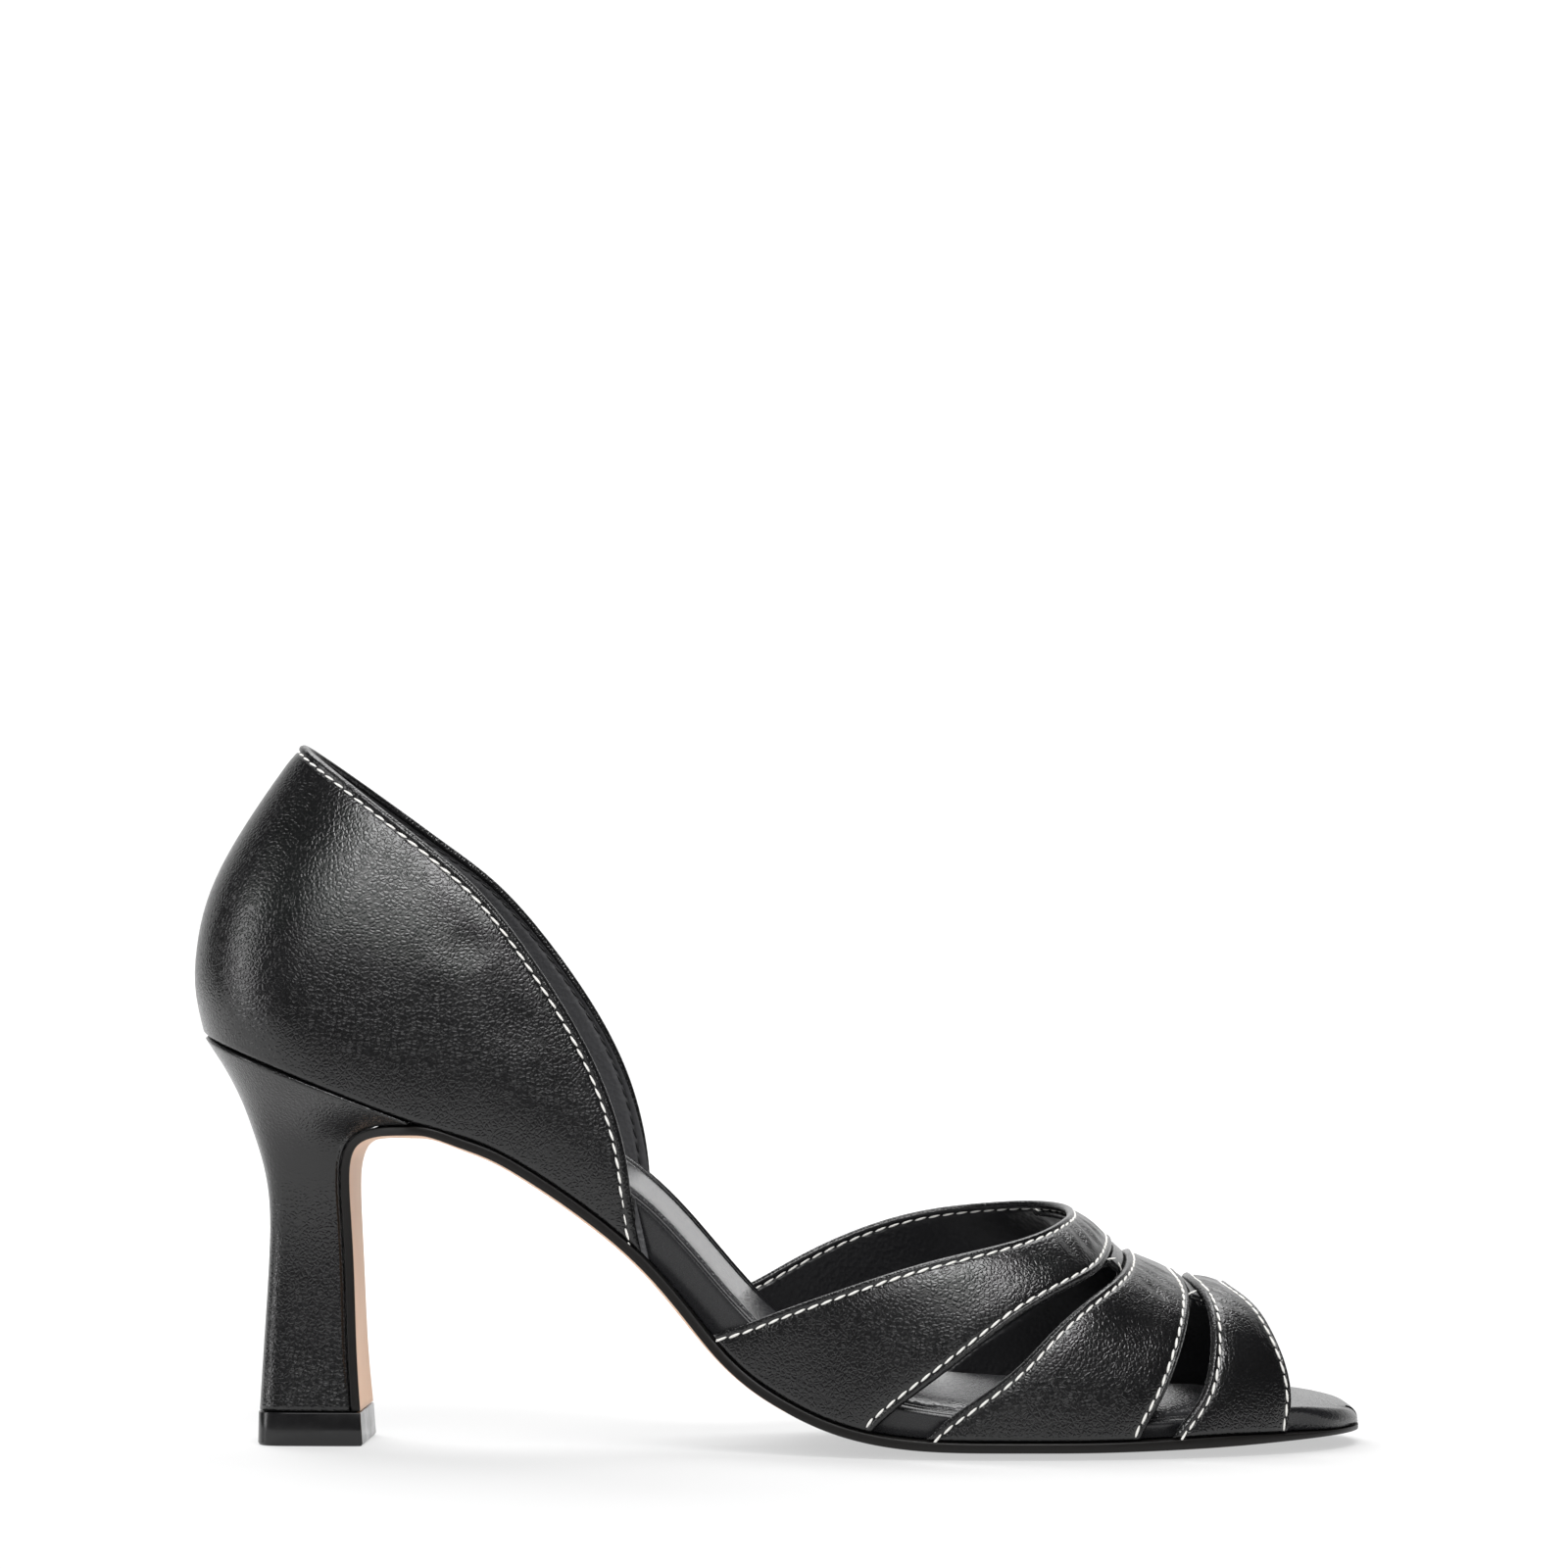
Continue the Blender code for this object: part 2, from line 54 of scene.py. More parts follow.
# Camera. A long lens about 1.1 m from the outer side of the shoe, a little above the middle of its
# height. The shoe stands low in the square picture.
camera_place = Vector((0.0395, -1.0997, 0.1015))
camera_aim = Vector((0.0015, 0.0003, 0.1272))
camera_lens_mm = 130.4
bpy.ops.object.camera_add(location=camera_place)
camera = bpy.context.object
camera.name = "camera"
camera.rotation_euler = (camera_aim - camera_place).to_track_quat("-Z", "Y").to_euler()
camera.data.lens = camera_lens_mm
bpy.context.scene.camera = camera


# Floor and light. A white board swept up behind the shoe and a second one in front, which the leather
# doesn't mirror, so that a dark band runs between the floor and the soft boxes in its gloss.
def colour(code):
    """Return an sRGB hex colour as linear red, green, blue and alpha."""
    channels = [int(code[place:place + 2], 16) / 255 for place in (1, 3, 5)]
    linear = [c / 12.92 if c <= 0.04045 else ((c + 0.055) / 1.055) ** 2.4 for c in channels]
    return (*linear, 1.0)


def fill(material, node, inputs):
    """Set a node's inputs. A node or one of its outputs is linked, and anything else is a fixed value."""
    for name, value in inputs.items():
        if isinstance(value, bpy.types.Node):
            value = value.outputs[0]
        if isinstance(value, bpy.types.NodeSocket):
            material.node_tree.links.new(value, node.inputs[name])
        else:
            node.inputs[name].default_value = value


def add_node(material, kind, inputs=None, **settings):
    """Add a shader node with its settings and inputs."""
    node = material.node_tree.nodes.new("ShaderNode" + kind)
    for name, value in settings.items():
        setattr(node, name, value)
    fill(material, node, inputs or {})
    return node


def new_material(name):
    """Return a new material and the place on the piece that its patterns read."""
    material = bpy.data.materials.new(name)
    material.use_nodes = True
    return material, add_node(material, "TexCoord").outputs["Object"]


def finish_material(material, inputs):
    """Give a material's shader its colour, gloss and relief."""
    fill(material, material.node_tree.nodes["Principled BSDF"], inputs)


board_wide = 7.0
board_front = -0.5
board_back = 2.4
board_rise = 3.5
board_bend = 0.9
board_pick = 0.01
board_deep = board_back - board_front
bpy.ops.mesh.primitive_plane_add(size=1, location=(0, (board_back + board_front) / 2, 0))
board = bpy.context.object
board.name = "studio_board"
board.scale = (board_wide, board_deep, 1)
bpy.ops.object.transform_apply()
bpy.ops.object.mode_set(mode="EDIT")
bpy.ops.mesh.select_all(action="DESELECT")
bpy.ops.object.mode_set(mode="OBJECT")
for edge in board.data.edges:
    edge.select = all(board.data.vertices[v].co.y > board_back - board_pick for v in edge.vertices)
bpy.ops.object.mode_set(mode="EDIT")
bpy.ops.mesh.select_mode(type="EDGE")
bpy.ops.mesh.extrude_region_move(TRANSFORM_OT_translate={"value": (0, 0, board_rise)})
bpy.ops.object.mode_set(mode="OBJECT")
for edge in board.data.edges:
    ends = [board.data.vertices[v].co for v in edge.vertices]
    edge.select = all(end.y > board_back - board_pick and end.z < board_pick for end in ends)
bpy.ops.object.mode_set(mode="EDIT")
bpy.ops.mesh.bevel(offset=board_bend, segments=16, affect="EDGES")
bpy.ops.object.mode_set(mode="OBJECT")
bpy.ops.object.shade_smooth()
front_board = board.copy()
front_board.name = "studio_board_front"
front_board.data = board.data.copy()
half_turn = Matrix.Rotation(math.pi, 4, "Z")
front_board.data.transform(Matrix.Translation((0, 2 * board_front, 0)) @ half_turn)
front_board.visible_glossy = False
bpy.context.collection.objects.link(front_board)

# White card, lit through from below. It stays white under the shoe, with a pale, soft shadow.
card_fibre_mm = 1.2
card, card_spot = new_material("white_card_lit_from_below")
card_fibre = add_node(card, "TexNoise", {"Vector": card_spot, "Scale": 1000 / card_fibre_mm})
card_gloss = add_node(card, "MapRange", {"Value": card_fibre, "To Min": 0.5, "To Max": 0.6})
finish_material(card, {
    "Base Color": colour("#929292"), "Roughness": card_gloss, "Specular IOR Level": 0.0,
    "Emission Color": colour("#ffffff"), "Emission Strength": 0.53,
})
board.data.materials.append(card)
front_board.data.materials.append(card)


def soft_box(name, place, aim, wide, tall, watts):
    """Hang a soft box at a place and turn it to the point it lights."""
    place = Vector(place)
    bpy.ops.object.light_add(type="AREA", location=place)
    box = bpy.context.object
    box.name = name
    box.rotation_euler = (Vector(aim) - place).to_track_quat("-Z", "Y").to_euler()
    box.data.shape = "RECTANGLE"
    box.data.size = wide
    box.data.size_y = tall
    box.data.energy = watts
    return box


soft_box("soft_box_over", (0.0, 0.6, 1.25), (0.0, 0.0, 0.0), 1.0, 0.8, 12.0)
soft_box("soft_box_front", (0.0, -1.3, 1.0), (0.0, 0.0, 0.09), 1.1, 0.75, 6.5)
soft_box("soft_box_heel", (-1.2, -0.35, 0.42), (-0.1, 0.0, 0.09), 0.35, 0.8, 4.2)
soft_box("soft_box_toe", (0.15, -0.75, 1.15), (0.06, 0.0, 0.03), 0.6, 0.5, 11.5)
soft_box("soft_box_board", (0.0, 1.1, 1.6), (0.0, 2.4, 0.7), 2.4, 0.8, 66.0)

# The box behind draws the soft shadow in front of the shoe. The leather doesn't mirror it.
back_box = soft_box("soft_box_back", (-0.55, 0.9, 0.8), (0.0, 0.0, 0.0), 0.8, 0.7, 17.0)
back_box.visible_glossy = False
world = bpy.data.worlds.new("dim_studio")
world.use_nodes = True
world.node_tree.nodes["Background"].inputs["Color"].default_value = colour("#ffffff")
world.node_tree.nodes["Background"].inputs["Strength"].default_value = 0.03
bpy.context.scene.world = world
bpy.context.scene.view_settings.view_transform = "Standard"


# Outsole. A thin sole of tan leather cemented under the insole, with a tongue that runs down the
# breast of the heel. Its edge is cut square, rubbed smooth and inked black.
MM = 0.001
OUTER = -1
INNER = 1
LENGTH = 224.6
GAP = 0.3
HEEL_BACK = 1.6
SEAT_WIDE = 28.5
SEAT_HALF = 27.0
SEAT_ROUND = 2.1
SEAT_FRONT = 43.3
TOE_TIP_Y = 4.0
TOE_START = {OUTER: 155.0, INNER: 166.0}
TOE_ROUND = {OUTER: 2.05, INNER: 2.35}

# Half widths of the last's edge between the heel seat and the toe.
edge_columns = ("x", "half")
outer_edge = (
    (28.5, 27.0), (40.0, 26.9), (56.8, 26.0), (67.5, 25.3), (78.7, 24.8), (89.9, 25.1),
    (104.9, 28.0), (122.6, 33.9), (140.0, 37.7), (155.0, 38.4),
)
inner_edge = (
    (28.5, 27.0), (40.0, 26.8), (56.8, 25.0), (67.5, 23.0), (78.7, 21.3), (89.9, 20.3),
    (104.9, 21.4), (122.6, 27.2), (140.0, 33.5), (155.0, 37.0), (166.0, 37.8),
)

# Side profile: top of the sole, top of the footbed, how much higher the footbed's inner side is,
# the sole's own thickness, and how far the sole's middle hangs down.
profile_columns = ("x", "seat", "footbed", "cant", "edge", "crown")
profile_rows = (
    (0.0, 79.1, 85.9, 0.0, 1.7, 0.6), (24.0, 69.9, 76.7, 0.0, 1.7, 0.8),
    (40.0, 63.7, 70.4, 0.0, 1.7, 1.0), (47.8, 61.1, 67.9, 0.4, 1.7, 1.1),
    (56.8, 58.3, 65.1, 1.0, 1.8, 1.2), (67.5, 52.6, 60.9, 1.8, 1.85, 1.3),
    (78.7, 44.8, 54.7, 2.3, 1.85, 1.3), (89.9, 35.0, 46.3, 2.3, 1.85, 1.3),
    (97.6, 26.1, 38.1, 2.2, 1.85, 1.3), (104.9, 17.7, 29.7, 1.8, 1.85, 1.2),
    (113.0, 11.7, 21.7, 1.4, 1.85, 1.2), (122.6, 7.1, 15.2, 1.3, 1.85, 1.3),
    (133.3, 4.4, 11.5, 1.2, 1.85, 1.4), (145.0, 3.4, 9.5, 1.4, 1.85, 1.5),
    (158.0, 3.3, 8.5, 1.2, 1.85, 1.5), (172.0, 3.3, 7.7, 0.8, 1.85, 1.5),
    (186.0, 3.6, 7.5, 0.4, 1.9, 1.5), (199.0, 4.0, 8.2, 0.4, 1.9, 1.4),
    (212.0, 3.85, 8.8, 0.4, 1.25, 0.9), (224.6, 3.7, 6.9, 0.3, 0.8, 0.2),
)

# Heel from the wear block up: the breast that the tongue covers, the tongue's half width, and the
# back, half width and squareness of the heel itself.
heel_columns = ("row", "front_x", "front_z", "flap", "back_x", "back_z", "half", "round")
heel_table = (
    (0, 31.1, 6.7, 12.0, 12.7, 6.7, 12.1, 5.0),
    (1, 30.2, 18.5, 10.6, 13.3, 18.5, 10.7, 4.8),
    (2, 29.6, 33.0, 9.7, 14.1, 33.0, 9.8, 4.5),
    (3, 29.0, 44.5, 10.1, 14.3, 44.5, 10.3, 4.0),
    (4, 28.9, 52.6, 11.6, 13.2, 52.8, 12.0, 3.4),
    (5, 30.3, 57.6, 14.2, 11.1, 59.8, 15.0, 2.9),
    (6, 33.3, 60.2, 18.0, 8.8, 65.8, 19.0, 2.5),
    (7, 37.6, 61.4, 22.4, 5.7, 71.8, 23.2, 2.25),
    (8, 43.0, 61.7, 25.8, 2.0, 77.4, 26.7, 2.1),
)
tongue_thickness = 1.7
tongue_crown = 1.0
tongue_join = 46.0


def smooth(knots, values):
    """Return a curve that runs smoothly through the values at the knots."""
    knots = np.asarray(knots, float)
    values = np.asarray(values, float)
    size = len(knots)
    gaps = np.diff(knots)
    slopes = np.diff(values) / gaps
    matrix = np.eye(size)
    right = np.zeros(size)
    for row in range(1, size - 1):
        matrix[row, row - 1] = gaps[row - 1]
        matrix[row, row] = 2 * (gaps[row - 1] + gaps[row])
        matrix[row, row + 1] = gaps[row]
        right[row] = 6 * (slopes[row] - slopes[row - 1])
    bends = np.linalg.solve(matrix, right)

    def curve(at):
        at = np.asarray(at, float)
        span = np.clip(np.searchsorted(knots, at) - 1, 0, size - 2)
        step = gaps[span]
        past = (at - knots[span]) / step
        ahead = 1 - past
        line = ahead * values[span] + past * values[span + 1]
        bow = (ahead ** 3 - ahead) * bends[span] + (past ** 3 - past) * bends[span + 1]
        return line + bow * step ** 2 / 6

    return curve


def curves(columns, rows):
    """Return the smooth curve of each column of a table against its first column."""
    data = np.array(rows, float)
    return {name: smooth(data[:, 0], data[:, place]) for place, name in enumerate(columns)}


def rounded(share, power):
    """Return the height of a rounded quarter at a share of its width."""
    share = np.clip(share, 0, 1)
    return (1 - share ** power) ** (1 / power)


profile = curves(profile_columns, profile_rows)
heel_rows = curves(heel_columns, heel_table)
waist = {OUTER: curves(edge_columns, outer_edge)["half"], INNER: curves(edge_columns, inner_edge)["half"]}


def edge_y(x, side):
    """Return Y of the feather edge, where the upper meets the sole, on one side."""
    x = np.asarray(x, float)
    seat = SEAT_HALF * rounded(1 - (x - HEEL_BACK) / (SEAT_WIDE - HEEL_BACK), SEAT_ROUND)
    start = TOE_START[side]
    middle = waist[side](np.clip(x, SEAT_WIDE, start))
    reach = side * waist[side](start) - TOE_TIP_Y
    toe = TOE_TIP_Y + reach * rounded((x - start) / (LENGTH - start), TOE_ROUND[side])
    return np.where(x < SEAT_WIDE, side * seat, np.where(x > start, toe, side * middle))


sole_low, sole_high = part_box("outsole")
widest = float(edge_y(np.linspace(SEAT_WIDE, LENGTH, 2000), OUTER).min())
CENTRE = np.array((LENGTH - sole_high[0] / MM, widest - sole_low[1] / MM, 0.0))


def points(x, y, z):
    """Return X, Y and Z joined as points."""
    return np.stack(np.broadcast_arrays(x, y, z), axis=-1)


def lay_piece(name, spots, coats=None):
    """Lay a flat grid over the last point by point, close its seams and smooth it.

    coats holds the number of the material for each cell of the grid.
    """
    closing = 0.002
    rows, columns = spots.shape[:2]
    bpy.ops.mesh.primitive_grid_add(x_subdivisions=columns - 1, y_subdivisions=rows - 1, size=1)
    piece = bpy.context.object
    piece.name = name
    piece.data.name = name
    piece.data.vertices.foreach_set("co", ((spots - CENTRE) * MM).reshape(-1))
    if coats is not None:
        piece.data.polygons.foreach_set("material_index", np.asarray(coats, int).reshape(-1))
    bpy.ops.object.mode_set(mode="EDIT")
    bpy.ops.mesh.select_all(action="SELECT")
    bpy.ops.mesh.remove_doubles(threshold=closing * MM)
    bpy.ops.mesh.normals_make_consistent(inside=False)
    bpy.ops.object.mode_set(mode="OBJECT")
    bpy.ops.object.shade_smooth()
    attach(piece, "root")
    return piece


def sole_line():
    """Return the top line of the sole from the end of the tongue to the toe, with its two edges."""
    rows = np.linspace(0, len(heel_table) - 1, 25)
    run = tongue_join + (LENGTH - tongue_join) * np.sin(np.linspace(0, math.pi / 2, 44))
    x = np.concatenate([heel_rows["front_x"](rows), run])
    z = np.concatenate([heel_rows["front_z"](rows), profile["seat"](run)])
    outer = np.concatenate([-heel_rows["flap"](rows), edge_y(run, OUTER)])
    inner = np.concatenate([heel_rows["flap"](rows), edge_y(run, INNER)])
    crown = np.concatenate([tongue_crown * np.linspace(0, 1, len(rows)) ** 2, profile["crown"](run)])
    edge = np.concatenate([np.full(len(rows), tongue_thickness), profile["edge"](run)])
    steps = np.sqrt(np.diff(x) ** 2 + np.diff(z) ** 2 + np.diff(outer) ** 2)
    along = np.concatenate([[0], np.cumsum(steps)])
    fine = np.linspace(0, along[-1], 300)
    return [smooth(along, line)(fine) for line in (x, z, outer, inner, crown, edge)]


def path_normals(x, z):
    """Return the directions square to a side path, on the side of the foot."""
    along_x = np.gradient(x)
    along_z = np.gradient(z)
    size = np.hypot(along_x, along_z)
    return -along_z / size, along_x / size


sole_flat_share = 0.5
sole_crown_power = 1.6
sole_floor = 0.12
sole_tread_from = 120.0
sole_inset_share = 0.4
sole_x, sole_z, sole_outer, sole_inner, sole_crown, sole_thickness = sole_line()
sole_x[-1] = LENGTH
sole_outer[-1] = TOE_TIP_Y
sole_inner[-1] = TOE_TIP_Y
sole_away_x, sole_away_z = path_normals(sole_x, sole_z)

# The section runs down the outer edge, over the bottom, up the inner edge and back over the top.
# An edge place is its inset, its share of the thickness and a step from there. A bottom or top place
# is its share of the way across.
sole_edge = ((0.3, 0.0, 0.0), (0.09, 0.0, 0.07), (0.0, 0.0, 0.3), (0.0, 0.5, 0.0), (0.0, 1.0, -0.3),
             (0.09, 1.0, -0.09), (0.3, 1.0, 0.0))
sole_shares = (0.03, 0.08, 0.15, 0.25, 0.35, 0.5, 0.65, 0.75, 0.85, 0.92, 0.97)
sole_width = sole_inner - sole_outer
ring_y = []
ring_depth = []
for inset, share, step in sole_edge:
    ring_y.append(sole_outer + np.minimum(inset, sole_inset_share * sole_width))
    ring_depth.append(share * sole_thickness + step)
for share in sole_shares:
    off_centre = abs(2 * share - 1)
    bulge = (1 - off_centre ** sole_crown_power) / (1 - sole_flat_share ** sole_crown_power)
    ring_y.append(sole_outer + share * sole_width)
    ring_depth.append(sole_thickness + sole_crown * min(1, bulge))
for inset, share, step in sole_edge[::-1]:
    ring_y.append(sole_inner - np.minimum(inset, sole_inset_share * sole_width))
    ring_depth.append(share * sole_thickness + step)
for share in sole_shares[::-1]:
    ring_y.append(sole_outer + share * sole_width)
    ring_depth.append(0 * sole_x)
ring_y.append(ring_y[0])
ring_depth.append(ring_depth[0])
ring_y = np.array(ring_y).T
ring_depth = np.array(ring_depth).T
sole_spots = points(sole_x[:, None] - ring_depth * sole_away_x[:, None], ring_y,
                    sole_z[:, None] - ring_depth * sole_away_z[:, None])
on_floor = (sole_spots[..., 2] < sole_floor) & (sole_spots[..., 0] > sole_tread_from)
sole_spots[..., 2] = np.where(on_floor, 0, sole_spots[..., 2])
sole_spots[0, :, 2] = heel_table[0][2]
tongue_end = sole_spots[0].copy()
tongue_end[:, 0] = sole_x[0] - tongue_thickness / 2 * sole_away_x[0]
sole_spots = np.concatenate([tongue_end[None], sole_spots])
edge_cells = len(sole_edge) - 1
side_cells = len(sole_shares) + 1
sole_coat = [1] * edge_cells + [0] * side_cells + [1] * (edge_cells + side_cells)
sole_coats = np.tile(sole_coat, (len(sole_spots) - 1, 1))

# In the forepart the ink runs a little way under the edge.
inked_from = 116.0
inked_rows = sole_spots[:-1, 0, 0] > inked_from
for margin_cell in (edge_cells, edge_cells + side_cells - 1):
    sole_coats[inked_rows, margin_cell] = 1
outsole = lay_piece("outsole_leather", sole_spots, sole_coats)

# Vegetable-tanned sole leather, rolled and buffed. Warm tan with cloudy patches and a fine fibre.
cloud_mm = 14.0
fibre_mm = 0.5
sole_leather, sole_spot = new_material("tan_sole_leather_buffed")
cloud = add_node(sole_leather, "TexNoise", {"Vector": sole_spot, "Scale": 1000 / cloud_mm, "Detail": 4.0})
tan = add_node(sole_leather, "Mix", {
    "Factor": cloud, 6: colour("#dcaa85"), 7: colour("#f0c5a1"),
}, data_type="RGBA")
fibre = add_node(sole_leather, "TexNoise", {"Vector": sole_spot, "Scale": 1000 / fibre_mm, "Detail": 3.0})
fibre_bump = add_node(sole_leather, "Bump", {"Height": fibre, "Strength": 0.25, "Distance": 0.05 * MM})
finish_material(sole_leather, {"Base Color": tan.outputs[2], "Normal": fibre_bump, "Roughness": 0.48})

# Edge ink, two coats burnished with wax. Near black with a soft shine that wavers along the cut.
ink_mm = 2.5
edge_ink, ink_spot = new_material("black_edge_ink_burnished")
ink_wave = add_node(edge_ink, "TexNoise", {"Vector": ink_spot, "Scale": 1000 / ink_mm, "Detail": 4.0})
ink_gloss = add_node(edge_ink, "MapRange", {"Value": ink_wave, "To Min": 0.34, "To Max": 0.52})
ink_bump = add_node(edge_ink, "Bump", {"Height": ink_wave, "Strength": 0.3, "Distance": 0.04 * MM})
finish_material(edge_ink, {
    "Base Color": colour("#100e0d"), "Roughness": ink_gloss, "Normal": ink_bump,
    "Specular IOR Level": 0.3,
})
outsole.data.materials.append(sole_leather)
outsole.data.materials.append(edge_ink)

# The floor takes no warm light back from the tan, so the shadow stays a clean grey.
outsole.visible_diffuse = False
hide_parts("outsole")


# Heel. A wooden or plastic block covered in the upper's leather, drawn tight and glued, so its
# sides are flat and its back edges softly rounded.
back_reach = 1.3


def heel_ring(front, back, flap, half, squared):
    """Return one ring of the heel: across the breast, along a side, round the back and forward."""
    corner = 0.5
    middle = back_reach - 1
    straight = np.linspace(1, middle, 12, endpoint=False)
    narrowing = 1 + (flap / half - 1) * ((straight - middle) / (1 - middle)) ** 2
    turn = np.linspace(math.pi / 2, 0, 27)
    bend = back_reach * (1 - np.cos(turn) ** (2 / squared)) - 1
    share = (np.concatenate([straight, bend]) + 1) / 2
    over = np.concatenate([narrowing, np.sin(turn) ** (2 / squared)]) * half
    depth = front[0] - back[0]
    share_cut = np.array((0.0, 0.05, 0.3, 1.0)) * corner / depth
    over_cut = np.array((1.0, 0.3, 0.05, 0.0)) * corner
    share = np.concatenate([[1.0, 1.0], 1 - share_cut, share[1:]])
    over = np.concatenate([[0.0, 0.5 * over[0]], over[0] - over_cut, over[1:]])
    share = np.concatenate([share, share[-2::-1]])
    over = np.concatenate([-over, over[-2::-1]])
    return points(back[0] + depth * share, over, back[1] + (front[1] - back[1]) * share)


rows_up = np.linspace(0, len(heel_table) - 1, 90)
breast_x = heel_rows["front_x"](rows_up)
breast_z = heel_rows["front_z"](rows_up)
breast_away_x, breast_away_z = path_normals(breast_x, breast_z)
heel_rings = []
for place, row in enumerate(rows_up):
    front = (breast_x[place] + GAP * breast_away_x[place], breast_z[place] + GAP * breast_away_z[place])
    back = (float(heel_rows["back_x"](row)), float(heel_rows["back_z"](row)))
    if place == 0:
        front = (front[0], back[1])
    half = float(heel_rows["half"](row))
    flap = float(heel_rows["flap"](row))
    heel_rings.append(heel_ring(front, back, flap, half, float(heel_rows["round"](row))))

# The cover turns in under the seat: how far each of its last rings lies under the seat, behind the
# front edge and inside the sides.
seat_rings = ((0.35, 0.0, 0.0), (0.0, 0.1, 0.4))
seat_flap_less = 0.3
for under, behind, inside in seat_rings:
    back = (HEEL_BACK + inside, float(profile["seat"](HEEL_BACK)) - under)
    front = (SEAT_FRONT - behind, float(profile["seat"](SEAT_FRONT)) - under)
    half = SEAT_HALF - inside
    heel_rings.append(heel_ring(front, back, half - seat_flap_less, half, SEAT_ROUND))
flat_ends = np.array((1.0, 0.0, 1.0))
heel_spots = np.array([heel_rings[0] * flat_ends] + heel_rings + [heel_rings[-1] * flat_ends])
heel = lay_piece("heel_cover", heel_spots)

# Calf leather, dyed black, embossed with a pebble grain and waxed. A deep satin black whose grain
# breaks each highlight into short, wavering sparks.
pebble_mm = 0.85
warp_mm = 2.6
warp_reach_mm = 1.1
pore_mm = 0.4
tone_mm = 11.0
calf, calf_spot = new_material("black_calf_embossed_waxed")
warp = add_node(calf, "TexNoise", {"Vector": calf_spot, "Scale": 1000 / warp_mm, "Detail": 2.0})
warped = add_node(calf, "VectorMath", {
    0: warp.outputs["Color"], 1: (warp_reach_mm * MM,) * 3, 2: calf_spot,
}, operation="MULTIPLY_ADD")
pebble = add_node(calf, "TexVoronoi", {
    "Vector": warped, "Scale": 1000 / pebble_mm,
}, feature="DISTANCE_TO_EDGE")
dome = add_node(calf, "MapRange", {"Value": pebble, "From Max": 0.3}, interpolation_type="SMOOTHSTEP")
pore = add_node(calf, "TexNoise", {"Vector": calf_spot, "Scale": 1000 / pore_mm, "Detail": 3.0})
relief = add_node(calf, "Math", {0: pore, 1: 0.6, 2: dome}, operation="MULTIPLY_ADD")
grain = add_node(calf, "Bump", {"Height": relief, "Strength": 0.75, "Distance": 0.052 * MM})
tone = add_node(calf, "TexNoise", {"Vector": calf_spot, "Scale": 1000 / tone_mm, "Detail": 4.0})
dye = add_node(calf, "Mix", {
    "Factor": tone, 6: colour("#0a0a0b"), 7: colour("#121213"),
}, data_type="RGBA")
wax = add_node(calf, "MapRange", {"Value": tone, "To Min": 0.22, "To Max": 0.3})
finish_material(calf, {
    "Base Color": dye.outputs[2], "Roughness": wax, "Normal": grain, "Specular IOR Level": 0.62,
})
heel.data.materials.append(calf)
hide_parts("heel")


# Top piece. The hard wear block nailed under the heel, moulded in plastic with crisp edges and
# ground flush with the heel's sides. Each row of it is its Z, back X, front X and half width.
block_square = 6.0
block_flap_less = 0.2
block_crisp = math.radians(35)
block_table = (
    (0.0, 12.85, 32.95, 12.35),
    (0.12, 12.7, 33.1, 12.5),
    (0.5, 12.5, 33.3, 12.7),
    (3.2, 12.55, 33.1, 12.55),
    (6.15, 12.6, 32.9, 12.4),
    (6.32, 12.66, 32.84, 12.34),
    (6.4, 12.8, 32.7, 12.2),
)
block_rings = []
for z, back, front, half in block_table:
    block_rings.append(heel_ring((front, z), (back, z), half - block_flap_less, half, block_square))
block_spots = np.array([block_rings[0] * flat_ends] + block_rings + [block_rings[-1] * flat_ends])
top_piece = lay_piece("wear_block", block_spots)
bpy.ops.object.shade_smooth_by_angle(angle=block_crisp)

# Moulded thermoplastic polyurethane, polished on a wheel. Deep black and glossy, with faint scuffs.
scuff_mm = 5.0
wear_plastic, wear_spot = new_material("black_polyurethane_polished")
scuff = add_node(wear_plastic, "TexNoise", {"Vector": wear_spot, "Scale": 1000 / scuff_mm, "Detail": 6.0})
scuff_gloss = add_node(wear_plastic, "MapRange", {
    "Value": scuff, "From Min": 0.3, "From Max": 0.8, "To Min": 0.12, "To Max": 0.3,
})
finish_material(wear_plastic, {"Base Color": colour("#161617"), "Roughness": scuff_gloss})
top_piece.data.materials.append(wear_plastic)
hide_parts("top_piece")


# Footbed. A shank board and foam wrapped in kid. The wrap rolls over the top edge into a narrow rim,
# and a bead between two grooves frames the sock. Towards the toe the top is one plain padded face
# with a full, round edge.
WALL = 1.6
bed_room = 0.7
bed_clear = WALL + GAP + bed_room
bed_toe_clear = 0.1
bed_back = HEEL_BACK + bed_clear
bed_front = LENGTH - bed_toe_clear
bed_ease_start = 211.0
bed_ease_end = 220.0
bed_side_round = 1.1
bed_toe_round = 2.5
bed_dome = 0.25
bed_least_width = 0.001
bed_least_share = 0.5
frame_floor = 0.6
frame_end = (197.0, 204.0)
waist_start = (50.0, 62.0)
waist_end = (105.0, 118.0)


def ease(x, start, end):
    """Return a soft step from 0 at start to 1 at end."""
    share = np.clip((x - start) / (end - start), 0, 1)
    return share * share * (3 - 2 * share)


